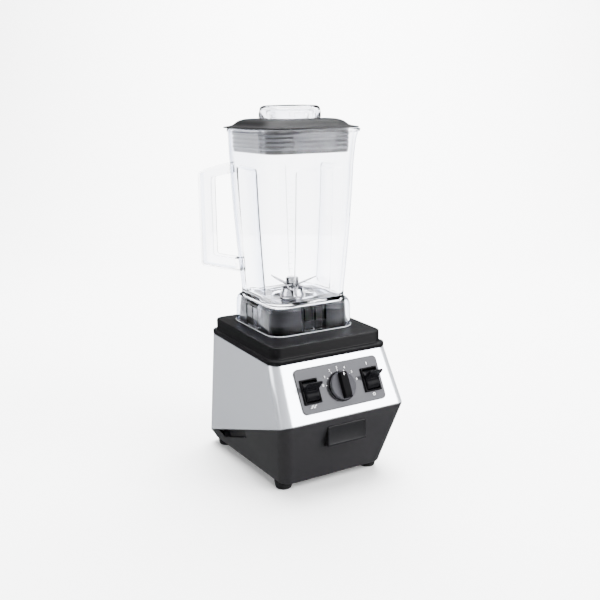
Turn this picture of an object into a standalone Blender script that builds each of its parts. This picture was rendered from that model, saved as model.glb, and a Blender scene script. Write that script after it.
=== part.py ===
"""Countertop blender: motor base, control panel, clear jar with a diagonal handle, blade set, lid and cap.

Lengths below are millimetres and are turned into metres where a mesh is made. X runs to the right seen from
the front, the front face looks along -Y, and Z is up from the surface the feet stand on. The jar and the
motor share one vertical axis, which stands at AXIS_X, AXIS_Y so that the whole object is centred on the
origin.
"""
import math

import bmesh
import bpy
from mathutils import Vector

MM = 0.001
GAP = 0.3                       # clearance between pieces that touch
AXIS_X, AXIS_Y = 1.95, 21.82    # the jar and motor axis, from the middle of the whole object

# base: each outline is half width at the front and back, reach to the front, reach to the back and
# corner radius
SPLIT = (99.9, 97.8, 149.9, 107.1, 17.0)
FLANGE = (93.5, 93.5, 110.8, 92.7, 15.0)
TIER = (88.4, 88.4, 104.6, 87.7, 13.0)
BOTTOM = (83.3, 92.4, 116.7, 102.0, 16.0)
BOTTOM_Z = 12.0
SPLIT_FRONT_Z, SPLIT_BACK_Z = 111.1, 19.5
SHELL_TOP_Z = 183.6
FLANGE_TOP_Z = 190.2
PLATE_Z = 207.0
SHELL_WALL = 2.6
FOOT_SPOTS = {"front_left": (-70.5, -94.6), "front_right": (70.5, -94.6),
              "rear_left": (-76.0, 84.0), "rear_right": (76.0, 84.0)}

# control panel, measured up the sloping front face from the split line
PANEL_X = 1.0
PANEL_HALF = (65.8, 30.5)
PANEL_UP = 42.6
SWITCH_OUT, SWITCH_UP = 48.4, 41.2
SWITCH_HOLE = (12.3, 16.0)
KNOB_UP = 40.0
KNOB_R = 20.0

# jar and what it holds
JAR_CORNER = 24.0
JAR_WALL = 4.2
JAR_BASE_HALF, JAR_BASE_Z = 61.2, 262.0
JAR_RIM_HALF, JAR_RIM_Z = 71.6, 488.6
JAR_BOW = 1.6                   # how far the tapered walls belly outwards: 1 is straight
SKIRT_HALF, SKIRT_WALL = 68.3, 3.0
SKIRT_Z = PLATE_Z + 0.6
FLOOR_Z = 239.5
HANDLE_ANGLE = 135.0
GRIP_IN, GRIP_OUT = 118.0, 138.0
HANDLE_WIDTH = 20.0
SPOUT_REACH = 7.0
PAD_HALF, PAD_TOP_Z = 62.3, 245.5

# lid and cap
LID_HALF, LID_CORNER = 77.9, 30.0
LID_TOP_Z = 502.2
PLUG_HALF, PLUG_Z = 65.2, 456.4
CAP_R, CAP_NECK_R, CAP_TOP_Z, CAP_NECK_Z = 43.0, 33.3, 520.6, 478.0
WELL_R = 34.0

# drive
SHAFT_R = 5.0
STATOR_HALF, STATOR_Z = 42.0, (90.0, 145.0)
BLADE_SHAFT_R = 4.0


# ---------------------------------------------------------------- outlines, meshes and materials

def split_z(y):
    """Height of the slanted joint between the silver shell and the lower housing."""
    share = (y + SPLIT[2]) / (SPLIT[2] + SPLIT[3])
    return SPLIT_FRONT_Z + (SPLIT_BACK_Z - SPLIT_FRONT_Z) * share


def outline(shape, inset=0.0, z=0.0, steps=5):
    """A round-cornered four-sided ring; z is a height or a function of y."""
    front, back, reach_front, reach_back, corner = shape
    radius = max(corner - inset, 1.0)
    corners = ((back, reach_back, 1, 0), (back, reach_back, -1, 90),
               (front, -reach_front, -1, 180), (front, -reach_front, 1, 270))
    ring = []
    for half, reach, side, start in corners:
        middle_x = side * (half - inset - radius)
        middle_y = reach - math.copysign(inset + radius, reach)
        for i in range(steps + 1):
            turn = math.radians(start + 90 * i / steps)
            y = middle_y + radius * math.sin(turn)
            ring.append((middle_x + radius * math.cos(turn), y, z(y) if callable(z) else z))
    return ring


def square(half, corner, z, steps=5):
    return outline((half, half, half, half, corner), 0.0, z, steps)


def circle(radius, z, count=24, start=0.0):
    return [(radius * math.cos(2 * math.pi * i / count + start),
             radius * math.sin(2 * math.pi * i / count + start), z) for i in range(count)]


def matched_circle(radius, z, steps=5):
    """A circle with as many points as a round-cornered ring, spread the same way round."""
    ring = []
    for start in (0, 90, 180, 270):
        for i in range(steps + 1):
            turn = math.radians(start + 90 * (i + 0.5) / (steps + 1))
            ring.append((radius * math.cos(turn), radius * math.sin(turn), z))
    return ring


def star(tip, root, teeth, z):
    """A splined outline: each tooth has a flat tip and a flat root."""
    ring = []
    for i in range(teeth):
        for share, radius in ((0.0, root), (0.22, tip), (0.5, tip), (0.72, root)):
            turn = 2 * math.pi * (i + share) / teeth
            ring.append((radius * math.cos(turn), radius * math.sin(turn), z))
    return ring


def finish(name, color, roughness, metallic=0.0, alpha=1.0):
    material = bpy.data.materials.get(name)
    if material:
        return material
    material = bpy.data.materials.new(name)
    material.use_nodes = True
    shader = material.node_tree.nodes["Principled BSDF"]
    shader.inputs["Base Color"].default_value = (*color, 1.0)
    shader.inputs["Roughness"].default_value = roughness
    shader.inputs["Metallic"].default_value = metallic
    shader.inputs["Alpha"].default_value = alpha
    return material


def new_object(name, bm, material, origin=(0, 0, 0), turn=(0, 0, 0), smooth=True):
    """Links a mesh whose points are already relative to its origin, which is in millimetres."""
    mesh = bpy.data.meshes.new(name)
    bmesh.ops.recalc_face_normals(bm, faces=bm.faces)
    bm.to_mesh(mesh)
    bm.free()
    if smooth:
        mesh.shade_smooth()
        mesh.set_sharp_from_angle(angle=math.radians(35))
    piece = bpy.data.objects.new(name, mesh)
    mesh.materials.append(material)
    piece.location = [(a + b) * MM for a, b in zip(origin, (AXIS_X, AXIS_Y, 0))]
    piece.rotation_euler = turn
    bpy.context.scene.collection.objects.link(piece)
    return piece


def skin(rings, closed=False, origin=(0, 0, 0)):
    """Joins rings of equal count with quads; the ends are capped unless the rings close on themselves."""
    bm = bmesh.new()
    rows = [[bm.verts.new([(a - b) * MM for a, b in zip(p, origin)]) for p in ring] for ring in rings]
    count = len(rings[0])
    for k in range(len(rows) if closed else len(rows) - 1):
        lower, upper = rows[k], rows[(k + 1) % len(rows)]
        for i in range(count):
            j = (i + 1) % count
            bm.faces.new((lower[i], lower[j], upper[j], upper[i]))
    if not closed:
        bm.faces.new(reversed(rows[0]))
        bm.faces.new(rows[-1])
    return bm


def loft(name, rings, material, closed=False, origin=(0, 0, 0), turn=(0, 0, 0)):
    return new_object(name, skin(rings, closed, origin), material, origin, turn)


def turned(name, profile, material, count=24, origin=(0, 0, 0), turn=(0, 0, 0), closed=None):
    """A round piece from (radius, height) points; a profile that leaves the axis free makes a ring."""
    if closed is None:
        closed = all(radius > 0 for radius, _ in profile)
    inner = [(r, z) for r, z in profile if r > 0]
    bm = skin([circle(r, z, count) for r, z in inner], closed)
    return new_object(name, bm, material, origin, turn)


def block(name, low, high, material, origin=(0, 0, 0), turn=(0, 0, 0)):
    bm = bmesh.new()
    bmesh.ops.create_cube(bm, size=1.0)
    for vert in bm.verts:
        vert.co = Vector([((lo + hi) / 2 + co * (hi - lo)) * MM for lo, hi, co in zip(low, high, vert.co)])
    return new_object(name, bm, material, origin, turn, smooth=False)


def boolean(piece, other, operation):
    modifier = piece.modifiers.new(operation.lower() + "_" + other.name, "BOOLEAN")
    modifier.operation = operation
    modifier.object = other
    other.hide_render = True
    other.display_type = "WIRE"
    return piece


def cut(piece, *tools):
    for tool in tools:
        boolean(piece, tool, "DIFFERENCE")
    return piece


def add(piece, *others):
    for other in others:
        boolean(piece, other, "UNION")
    return piece


# ---------------------------------------------------------------- the sloping front face

FACE_LENGTH = math.hypot(SPLIT[2] - FLANGE[2], SHELL_TOP_Z - SPLIT_FRONT_Z)
FACE_UP = Vector((0, (SPLIT[2] - FLANGE[2]) / FACE_LENGTH, (SHELL_TOP_Z - SPLIT_FRONT_Z) / FACE_LENGTH))
FACE_OUT = Vector((0, -FACE_UP.z, FACE_UP.y))
FACE_TILT = (math.acos(FACE_UP.y), 0, 0)


def face_point(x, up, out=0.0):
    """A point on the front face: x across, up the slope from the split line, out along the normal."""
    return Vector((x, -SPLIT[2], SPLIT_FRONT_Z)) + FACE_UP * up + FACE_OUT * out


# ---------------------------------------------------------------- base shells

def gland_place():
    """Centre of the cable gland on the outer back wall, and the turn that faces it outwards."""
    height = 42.0
    lean = (SPLIT[3] - FLANGE[3]) / (SHELL_TOP_Z - SPLIT_BACK_Z)
    spot = (45.0, SPLIT[3] - lean * (height - SPLIT_BACK_Z), height)
    return spot, (math.atan(lean) - math.pi / 2, 0, 0)


def make_lower_housing(plastic):
    """Tapered moulding from the feet up to the slanted joint, with a finger slot in each side."""
    below = lambda y: split_z(y) - GAP / 2
    rings = [outline(BOTTOM, 1.5, BOTTOM_Z), outline(BOTTOM, -0.4, BOTTOM_Z + 3),
             outline(SPLIT, 0.2, below), outline(SPLIT, 0.2 + SHELL_WALL, below),
             outline(BOTTOM, 3.2, BOTTOM_Z + 3), outline(BOTTOM, 4.2, BOTTOM_Z)]
    housing = loft("lower_housing", rings, plastic, closed=True)
    slope = (math.atan2(SPLIT_BACK_Z - SPLIT_FRONT_Z, SPLIT[2] + SPLIT[3]), 0, 0)
    middle_y, half_length = 17.0, 51.0
    for side, word in ((-1, "left"), (1, "right")):
        spot = (0, middle_y, split_z(middle_y))
        near, far = sorted((side * 79.0, side * 90.0))
        backing = block("grip_backing_" + word, (near, -half_length - 3, -16.5),
                        (far, half_length + 3, -0.4), plastic, spot, slope)
        near, far = sorted((side * 82.0, side * 110.0))
        slot = block("grip_slot_" + word, (near, -half_length, -13.6), (far, half_length, -1.4),
                     plastic, spot, slope)
        cut(add(housing, backing), slot)
    return housing


def make_upper_housing(silver):
    """Open silver shell whose front face leans back; the panel's three openings go through it."""
    above = lambda y: split_z(y) + GAP / 2
    rings = [outline(SPLIT, 0.0, above), outline(FLANGE, 0.4, SHELL_TOP_Z - GAP),
             outline(FLANGE, 0.4 + SHELL_WALL, SHELL_TOP_Z - GAP), outline(SPLIT, SHELL_WALL, above)]
    shell = loft("upper_housing", rings, silver, closed=True)
    for side, word in ((-1, "pulse"), (1, "power")):
        spot = face_point(PANEL_X + side * SWITCH_OUT, SWITCH_UP)
        hole = block("shell_hole_" + word, (-SWITCH_HOLE[0], -SWITCH_HOLE[1], -12),
                     (SWITCH_HOLE[0], SWITCH_HOLE[1], 12), silver, spot, FACE_TILT)
        cut(shell, hole)
    bore = turned("shell_hole_knob", [(6, -12), (6, 12)], silver, 20, face_point(PANEL_X, KNOB_UP),
                  FACE_TILT, closed=False)
    spot, turn = gland_place()
    outlet = turned("shell_hole_gland", [(7.4, -12), (7.4, 8)], silver, 16, spot, turn, closed=False)
    return cut(shell, bore, outlet)


def make_top_plate(plastic):
    """Black cap on the silver shell: a flange, a raised tier and a lip that drops inside the shell."""
    rings = [matched_circle(24.0, PLATE_Z), outline(TIER, 1.2, PLATE_Z), outline(TIER, 0, PLATE_Z - 1.2),
             outline(TIER, 0, FLANGE_TOP_Z + 1.0), outline(FLANGE, 1.0, FLANGE_TOP_Z),
             outline(FLANGE, 0, FLANGE_TOP_Z - 1.2), outline(FLANGE, 0, SHELL_TOP_Z + 0.4),
             outline(FLANGE, 0.5, SHELL_TOP_Z), outline(FLANGE, 3.6, SHELL_TOP_Z),
             outline(FLANGE, 4.0, SHELL_TOP_Z - 6), outline(FLANGE, 6.8, SHELL_TOP_Z - 6),
             outline(TIER, 3.0, PLATE_Z - 3.2), matched_circle(24.0, PLATE_Z - 3.2)]
    return loft("top_plate", rings, plastic, closed=True)


def make_bottom_cover(plastic):
    rings = [outline(BOTTOM, 4.6, BOTTOM_Z), outline(BOTTOM, 3.6, BOTTOM_Z + 2.8)]
    cover = loft("bottom_cover", rings, plastic)
    for name, (x, y) in FOOT_SPOTS.items():
        cut(cover, turned("cover_hole_" + name, [(2.3, 8), (2.3, 20)], plastic, 12, (x, y, 0),
                          closed=False))
    for i in range(7):
        x = (i - 3) * 9.0
        slot = block("vent_%d" % i, (x - 2.2, -28, 8), (x + 2.2, 28, 20), plastic)
        cut(cover, slot)
    return cover


def make_feet(rubber, steel):
    """Four tapered rubber feet, each held by a countersunk screw through the bottom cover."""
    top = BOTTOM_Z - GAP
    for name, (x, y) in FOOT_SPOTS.items():
        profile = [(5.0, 0), (11.0, 0), (12.2, 1.4), (13.0, top), (2.3, top), (2.3, 5), (5.0, 5)]
        turned("foot_" + name, profile, rubber, 20, (x, y, 0))
        screw = [(4.4, 2.6), (4.4, 4.6), (1.9, 4.9), (1.9, 19.0)]
        turned("foot_screw_" + name, screw, steel, 10, (x, y, 0), closed=False)


def make_name_plate(plastic):
    """Blank raised plate low on the front: its face is upright while the housing slopes back under it."""
    lean = (SPLIT[2] - BOTTOM[2]) / (SPLIT_FRONT_Z - BOTTOM_Z)
    top, low, face_low, clear = 99.0, 67.0, 70.5, 0.5
    face_y = -SPLIT[2] + lean * (SPLIT_FRONT_Z - top) - 1.6
    wall = [(-SPLIT[2] + lean * (SPLIT_FRONT_Z - z) - clear, z) for z in (low, top)]
    side = [(face_y, face_low), (wall[0][0], low), (wall[1][0], top), (face_y, top - 0.4)]
    half, middle = 30.5, 1.8
    rings = [[(middle + x, y, z) for y, z in side] for x in (-half, half)]
    return loft("name_plate", rings, plastic)


def make_cable_gland(plastic):
    """Collar low in the silver shell's back wall that the mains lead would leave through."""
    spot, turn = gland_place()
    profile = [(4.2, -8), (7.0, -8), (7.0, GAP), (9.8, GAP), (9.0, 4.4), (4.2, 4.4)]
    return turned("cable_gland", profile, plastic, 16, spot, turn)


# ---------------------------------------------------------------- controls

def make_panel(grey):
    half_x, half_y = PANEL_HALF
    shape = (half_x, half_x, half_y, half_y, 6.0)
    spot = face_point(PANEL_X, PANEL_UP)
    rings = [outline(shape, 0, GAP), outline(shape, 0, 1.5), outline(shape, 0.2, 1.7)]
    panel = loft("control_panel", rings, grey, turn=FACE_TILT)
    panel.location = [(a + b) * MM for a, b in zip(spot, (AXIS_X, AXIS_Y, 0))]
    for side, word in ((-1, "pulse"), (1, "power")):
        hole = block("panel_hole_" + word, (-SWITCH_HOLE[0], -SWITCH_HOLE[1], -4),
                     (SWITCH_HOLE[0], SWITCH_HOLE[1], 6), grey,
                     face_point(PANEL_X + side * SWITCH_OUT, SWITCH_UP), FACE_TILT)
        cut(panel, hole)
    bore = turned("panel_hole_knob", [(5, -4), (5, 6)], grey, 20, face_point(PANEL_X, KNOB_UP), FACE_TILT,
                  closed=False)
    return cut(panel, bore)


# side view of a paddle: up the slope and out from the face, pivoting at (0, 0)
PADDLE_SIDE = [(-13, -1), (-13, 3.4), (-10.5, 6.2), (-6.5, 7.4), (-2.5, 7.0), (0.2, 5.6), (5.6, 19.6),
               (6.8, 20.8), (8.2, 20.2), (8.4, 18.8), (5.4, 6.4), (9, 3.8), (13, 1.6), (13, -1),
               (8, -5.4), (0, -7), (-8, -5.4)]


def make_switch(word, side, plastic, rocker):
    """A framed switch body let into the panel, and the winged paddle that rocks in it."""
    spot = face_point(PANEL_X + side * SWITCH_OUT, SWITCH_UP)
    wide, tall = SWITCH_HOLE[0] - 0.3, SWITCH_HOLE[1] - 0.3
    shape = (13.4, 13.4, 17.1, 17.1, 1.2)
    shank = (wide, wide, tall, tall, 1.0)
    rings = [outline(shank, 0, -20, 2), outline(shank, 0, 2.0, 2), outline(shape, 0, 2.0, 2),
             outline(shape, 0, 3.8, 2), outline(shape, 0.9, 4.8, 2)]
    body = loft(word + "_switch_body", rings, plastic, turn=FACE_TILT)
    body.location = [(a + b) * MM for a, b in zip(spot, (AXIS_X, AXIS_Y, 0))]
    pocket = block(word + "_pocket", (-10.8, -14.6, -11), (10.8, 14.6, 9), plastic, spot, FACE_TILT)
    cut(body, pocket)
    rings = [[(x, s, h) for s, h in PADDLE_SIDE] for x in (-10.2, 10.2)]
    paddle = loft(word + "_paddle", rings, rocker, turn=FACE_TILT)
    paddle.location = [(a + b) * MM for a, b in zip(spot, (AXIS_X, AXIS_Y, 0))]


def make_knob(plastic, steel, dark):
    """Round knob with a raised grip bar, its spindle, and the rotary control behind the face."""
    spot = face_point(PANEL_X, KNOB_UP)
    base, top, bar_top = 2.2, 10.5, 17.0
    profile = [(3.4, base), (KNOB_R + 0.5, base), (KNOB_R + 0.5, 4.2), (KNOB_R, 4.6),
               (KNOB_R - 1.0, top - 0.8), (KNOB_R - 1.8, top), (3.4, top)]
    knob = turned("speed_knob", profile, plastic, 32, spot, FACE_TILT)
    half = 5.6
    reach = KNOB_R - 1.0
    side = [(-reach, 8.5), (reach, 8.5), (reach, 15), (reach - 2, bar_top), (2 - reach, bar_top),
            (-reach, 15)]
    bar = new_object("knob_bar", skin([[(x, s, h) for s, h in side] for x in (-half, half)]), plastic, spot,
                     FACE_TILT)
    add(knob, bar)
    turned("knob_spindle", [(3.1, -8.4), (3.1, 7.8)], steel, 16, spot, FACE_TILT, closed=False)
    control = [(12.0, -22), (12.0, -9), (5.4, -8.7), (5.4, -3), (3.5, -3), (3.5, -11), (3.5, -12),
               (3.4, -13)]
    turned("speed_control", control, dark, 20, spot, FACE_TILT, closed=False)


# ---------------------------------------------------------------- motor

def make_motor(steel, copper, dark, plastic, rubber, carbon):
    """Upright universal motor under the jar, with its brackets, windings, brushes, fan and duct."""
    low, high = STATOR_Z
    frame = (STATOR_HALF, STATOR_HALF, STATOR_HALF, STATOR_HALF, 9.0)
    loft("motor_stator", [matched_circle(27.2, low), outline(frame, 0, low), outline(frame, 0, high),
                          matched_circle(27.2, high)], steel, closed=True)
    for word, z in (("upper", high + 0.4), ("lower", low - 12.4)):
        ring = [(28, z), (38, z), (39.5, z + 3), (39.5, z + 9), (38, z + 12), (28, z + 12)]
        turned("field_winding_" + word, ring, copper, 24)

    for word, plate, leg, bearing_r in (("upper", (165.0, 171.0), (high + GAP, 166.0), 14.0),
                                        ("lower", (46.0, 52.0), (51.0, low - GAP), 11.0)):
        shape = (46, 46, 46, 46, 8.0)
        bracket = loft("motor_bracket_" + word,
                       [matched_circle(bearing_r + GAP, plate[0], 5), outline(shape, 0, plate[0]),
                        outline(shape, 0, plate[1]), matched_circle(bearing_r + GAP, plate[1], 5)],
                       dark, closed=True)
        for i, (sx, sy) in enumerate(((-1, -1), (-1, 1), (1, -1), (1, 1))):
            x, y = sx * 40.0, sy * 40.0
            add(bracket, block("%s_leg_%d" % (word, i), (x - 4.5, y - 4.5, leg[0]),
                               (x + 4.5, y + 4.5, leg[1]), dark))
        middle = (plate[0] + plate[1]) / 2
        race = [(SHAFT_R + 0.1, middle - 3.5), (bearing_r, middle - 3.5), (bearing_r, middle + 3.5),
                (SHAFT_R + 0.1, middle + 3.5)]
        turned("motor_bearing_" + word, race, steel, 24)
    for i, (sx, sy) in enumerate(((-1, -1), (-1, 1), (1, -1), (1, 1))):
        post = [(4.0, BOTTOM_Z + 3.1), (4.0, 45.6)]
        turned("motor_mount_%d" % (i + 1), post, rubber, 12, (sx * 41.0, sy * 41.0, 0), closed=False)

    for word, side in (("left", -1), ("right", 1)):
        near, far = sorted((side * 17.0, side * 38.0))
        holder = block("brush_holder_" + word, (near, -6, 59), (far, 6, 72), dark)
        near, far = sorted((side * 10.0, side * 34.0))
        cut(holder, block("brush_bore_" + word, (near, -3.6, 61.5), (far, 3.6, 69.5), dark))
        near, far = sorted((side * 13.6, side * 30.0))
        block("carbon_brush_" + word, (near, -3.2, 61.9), (far, 3.2, 69.1), carbon)

    turned("motor_shaft", [(SHAFT_R, 24), (SHAFT_R, 210.4)], steel, 24, closed=False)
    bore = SHAFT_R + GAP
    armature = [star(26.4, 24.6, 12, low), star(26.4, 24.6, 12, high)]
    inner = [circle(bore, high, 48), circle(bore, low, 48)]
    loft("armature", armature + inner, steel, closed=True)
    turned("commutator", [(bore, 58), (13, 58), (13, 74), (bore, 74)], copper, 24)
    disc = [(bore, 38), (45, 38), (45, 40), (12, 40.5), (12, 43.5), (bore, 43.5)]
    fan = turned("cooling_fan", disc, plastic, 30)
    vanes = []
    for i in range(9):
        turn = (0, 0, i * 2 * math.pi / 9)
        vanes.append(block("fan_vane_%d" % i, (10, -0.9, 26), (44, 0.9, 39), plastic, turn=turn))
    add(fan, *vanes)
    turned("fan_duct", [(48, 17), (50, 17), (50, 45), (48, 45)], plastic, 30)


def make_drive_socket(metal):
    rings = [circle(SHAFT_R + GAP, 196, 24), circle(11, 196, 24), circle(11, 212, 24), circle(13, 214, 24),
             circle(13, 227, 24), star(8.9, 7.5, 6, 227), star(8.9, 7.5, 6, 211.5),
             circle(SHAFT_R + GAP, 211.5, 24)]
    return loft("drive_socket", rings, metal, closed=True)


def make_control_board(board, dark):
    pcb = block("control_board", (-34, -79.6, 24), (34, -78, 76), board)
    for i, (x, z, wide, tall) in enumerate(((-18, 40, 11, 9), (8, 36, 8, 7), (20, 60, 7, 8))):
        add(pcb, block("board_part_%d" % i, (x - wide, -78.5, z - tall), (x + wide, -66, z + tall), dark))
    return pcb


# ---------------------------------------------------------------- jar

def jar_half(z):
    """Outer half width of the jar's wall at a height."""
    share = (z - JAR_BASE_Z) / (JAR_RIM_Z - JAR_BASE_Z)
    return JAR_BASE_HALF + (JAR_RIM_HALF - JAR_BASE_HALF) * (1 - (1 - min(max(share, 0), 1)) ** JAR_BOW)


def corner_reach(z, inset=0.0):
    """Distance from the axis to the jar's rounded corner along the diagonal."""
    return (jar_half(z) - JAR_CORNER) * math.sqrt(2) + JAR_CORNER - inset


def spouted(ring, reach):
    """Pushes a ring out at its front right corner to form the pouring lip."""
    direction = Vector((1, -1)).normalized()
    moved = []
    for x, y, z in ring:
        lined = max(0.0, Vector((x, y)).normalized().dot(direction))
        push = reach * max(0.0, (lined - 0.93) / 0.07) ** 1.2 if lined > 0.93 else 0.0
        moved.append((x + direction.x * push, y + direction.y * push, z))
    return moved


def make_jar(clear):
    """One clear moulding: walls, dished floor, skirt that fits over the pad, pouring lip and handle."""
    inner_corner = JAR_CORNER - JAR_WALL
    skirt_in = SKIRT_HALF - SKIRT_WALL
    rings = [matched_circle(10.3, FLOOR_Z - 4), matched_circle(24, FLOOR_Z - 3), square(46, 14, 246.2),
             square(60, 18, 247.2), square(skirt_in - 0.6, 20, 243), square(skirt_in, 21, SKIRT_Z),
             square(SKIRT_HALF, 24, SKIRT_Z), square(SKIRT_HALF - 0.6, 24, 240), square(66, 23, 247),
             square(jar_half(252) + 0.6, JAR_CORNER, 251.5)]
    levels = [(JAR_BASE_Z, 0), (315, 0), (375, 0), (435, 0), (462, 0.2), (476, 0.45), (JAR_RIM_Z, 1.0)]
    for z, reach in levels:
        rings.append(spouted(square(jar_half(z), JAR_CORNER, z), reach * SPOUT_REACH))
    for z, reach in reversed(levels):
        rings.append(spouted(square(jar_half(z) - JAR_WALL, inner_corner, z), reach * SPOUT_REACH))
    rings += [square(56, 18, 252.6), square(46.5, 14, 250), matched_circle(24, FLOOR_Z + 1),
              matched_circle(10.3, FLOOR_Z)]
    jar = loft("jar", rings, clear, closed=True)

    embed = JAR_WALL - 1.0
    side = [(corner_reach(442) - embed, 442), (134, 428.8), (GRIP_OUT - 0.6, 426.4), (GRIP_OUT, 423),
            (GRIP_OUT, 292.5), (GRIP_OUT - 1.2, 289.6), (GRIP_OUT - 4, 288.6),
            (corner_reach(281.5) - embed, 281.5),
            (corner_reach(300) - embed, 300.5), (115, 304.6), (GRIP_IN, 308), (GRIP_IN, 416), (115.5, 420),
            (corner_reach(426) - embed, 426)]
    half = HANDLE_WIDTH / 2
    rings = []
    for offset, shrink in ((-half, 1.2), (-half + 1.6, 0), (half - 1.6, 0), (half, 1.2)):
        middle_r = sum(p[0] for p in side) / len(side)
        rings.append([(r - math.copysign(min(shrink, abs(r - middle_r)), r - middle_r), offset, z)
                      for r, z in side])
    handle = new_object("jar_handle", skin(rings), clear, turn=(0, 0, math.radians(HANDLE_ANGLE)))
    return add(jar, handle)


def make_pad(rubber):
    """Square rubber pad on the top plate; four corner posts locate the jar's skirt.

    A notch in the middle of each side of the slab leaves room for one of the jar's lugs.
    """
    rings = [matched_circle(24.6, PLATE_Z + GAP), square(PAD_HALF, 19, PLATE_Z + GAP),
             square(PAD_HALF, 19, 242), square(PAD_HALF - 2, 17, PAD_TOP_Z),
             square(48.5, 8, PAD_TOP_Z), square(47.5, 7, 221), matched_circle(24.6, 221)]
    pad = loft("centering_pad", rings, rubber, closed=True)
    half_gap = 20.0
    cut(pad, block("pad_gap_x", (-80, -half_gap, 221.4), (80, half_gap, 260), rubber),
        block("pad_gap_y", (-half_gap, -80, 221.4), (half_gap, 80, 260), rubber))
    half_notch, notch_near = 19.4, 52.5
    cut(pad, block("pad_notch_right", (notch_near, -half_notch, PLATE_Z - 1), (80, half_notch, 260), rubber),
        block("pad_notch_left", (-80, -half_notch, PLATE_Z - 1), (-notch_near, half_notch, 260), rubber),
        block("pad_notch_back", (-half_notch, notch_near, PLATE_Z - 1), (half_notch, 80, 260), rubber),
        block("pad_notch_front", (-half_notch, -80, PLATE_Z - 1), (half_notch, -notch_near, 260), rubber))
    return pad


# ---------------------------------------------------------------- blade set

def make_hub(steel, rubber):
    """Bearing housing through the jar floor, with its nut, seal and two bearings."""
    profile = [(8.3, 229), (10.0, 229), (10.0, FLOOR_Z + GAP), (13.4, FLOOR_Z + GAP), (18.7, 249.6),
               (19.0, 251.0), (14.4, 260.2), (9.0, 262.0), (4.7, 262.0), (4.7, 258.0), (8.3, 258.0)]
    turned("blade_hub", profile, steel, 24)
    nut = [circle(10.3, 229.6, 24), [(x, y, 229.6) for x, y, _ in hexagon(15.0, 24)],
           [(x, y, FLOOR_Z - 4 - GAP) for x, y, _ in hexagon(15.0, 24)],
           circle(10.3, FLOOR_Z - 4 - GAP, 24)]
    loft("hub_nut", nut, steel, closed=True)
    for word, z in (("upper", 250.8), ("lower", 230.0)):
        race = [(BLADE_SHAFT_R + 0.1, z), (8.0, z), (8.0, z + 6.6), (BLADE_SHAFT_R + 0.1, z + 6.6)]
        turned("blade_bearing_" + word, race, steel, 24)
    turned("shaft_seal", [(BLADE_SHAFT_R + 0.2, 244), (8.0, 244), (8.0, 248), (BLADE_SHAFT_R + 0.2, 248)],
           rubber, 24)


def hexagon(radius, count):
    """Points spread evenly along a hexagon's sides."""
    ring = []
    for i in range(count):
        side, share = divmod(i * 6 / count, 1)
        a, b = (Vector((math.cos(math.radians(60 * (side + k))), math.sin(math.radians(60 * (side + k)))))
                for k in (0, 1))
        spot = a.lerp(b, share) * radius
        ring.append((spot.x, spot.y, 0))
    return ring


def make_blade(name, z, tip_rise, bend_r, tip_r, angle, flat_tip, steel):
    """A stamped two-armed blade: flat round the shaft, arms bent up or down, tapered to the tips."""
    thick = 1.3
    stations = [(0.0, 8.5, 0.0), (9.0, 7.6, 0.0), (bend_r, 6.4, tip_rise * 0.12),
                (tip_r * 0.76, 5.4, tip_rise)]
    stations.append((tip_r, 2.2, tip_rise if flat_tip else tip_rise * 1.36))
    if not flat_tip:
        stations[3] = (tip_r * 0.76, 5.4, tip_rise * 0.93)
    hole = BLADE_SHAFT_R + 0.35
    bm = bmesh.new()
    layers = []
    for level in (0.0, thick):
        rim = []
        for side in (1, -1):
            arm = [(side * r, -side * w, h) for r, w, h in stations[1:]]
            arm += [(side * r, side * w, h) for r, w, h in reversed(stations[1:])]
            rim += [bm.verts.new((x * MM, y * MM, (z + level + h) * MM)) for x, y, h in arm]
            if side == 1:
                rim.append(bm.verts.new((0, 8.5 * MM, (z + level) * MM)))
            else:
                rim.append(bm.verts.new((0, -8.5 * MM, (z + level) * MM)))
        turns = [math.radians(-90 + 20 * i) for i in range(18)]
        eye = [bm.verts.new((hole * math.cos(t) * MM, hole * math.sin(t) * MM, (z + level) * MM))
               for t in turns]
        layers.append((rim, eye))
    arm_count = 2 * (len(stations) - 1)
    for rim, eye in layers:
        for side in (0, 1):
            start = side * (arm_count + 1)
            for k in range(len(stations) - 2):
                a, b = start + k, start + arm_count - 1 - k
                bm.faces.new((rim[a], rim[a + 1], rim[b - 1], rim[b]))
        half = len(eye) // 2
        right = [rim[-1], rim[0], rim[arm_count - 1], rim[arm_count]]
        left = [rim[arm_count], rim[arm_count + 1], rim[2 * arm_count], rim[-1]]
        bm.faces.new(right + [eye[half - i] for i in range(half + 1)])
        bm.faces.new(left + [eye[(len(eye) - i) % len(eye)] for i in range(half + 1)])
    for loop in (0, 1):
        lower, upper = layers[0][loop], layers[1][loop]
        for i in range(len(lower)):
            j = (i + 1) % len(lower)
            bm.faces.new((lower[i], lower[j], upper[j], upper[i]))
    new_object(name, bm, steel, turn=(0, 0, math.radians(angle)))


def make_blades(steel):
    make_blade("lower_blade", 262.3, -5.2, 12.0, 40.0, -30.0, True, steel)
    make_blade("middle_blade", 263.9, -0.6, 12.0, 36.0, 62.0, True, steel)
    make_blade("upper_blade", 265.5, 8.6, 10.0, 34.5, -38.0, False, steel)
    turned("blade_shaft", [(BLADE_SHAFT_R, 221), (BLADE_SHAFT_R, 272)], steel, 24, closed=False)
    nut = [(4.3, 267.2), (7.2, 267.2), (7.2, 275.6), (6.2, 277.0), (1.0, 277.0), (1.0, 276.0), (4.3, 273.0)]
    turned("blade_nut", nut, steel, 24)
    tip, root = 8.4, 7.0
    rings = [circle(BLADE_SHAFT_R + GAP, 214, 24), star(tip, root, 6, 214), star(tip, root, 6, 227.6),
             circle(BLADE_SHAFT_R + GAP, 227.6, 24)]
    loft("jar_coupler", rings, steel, closed=True)


# ---------------------------------------------------------------- lid

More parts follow.
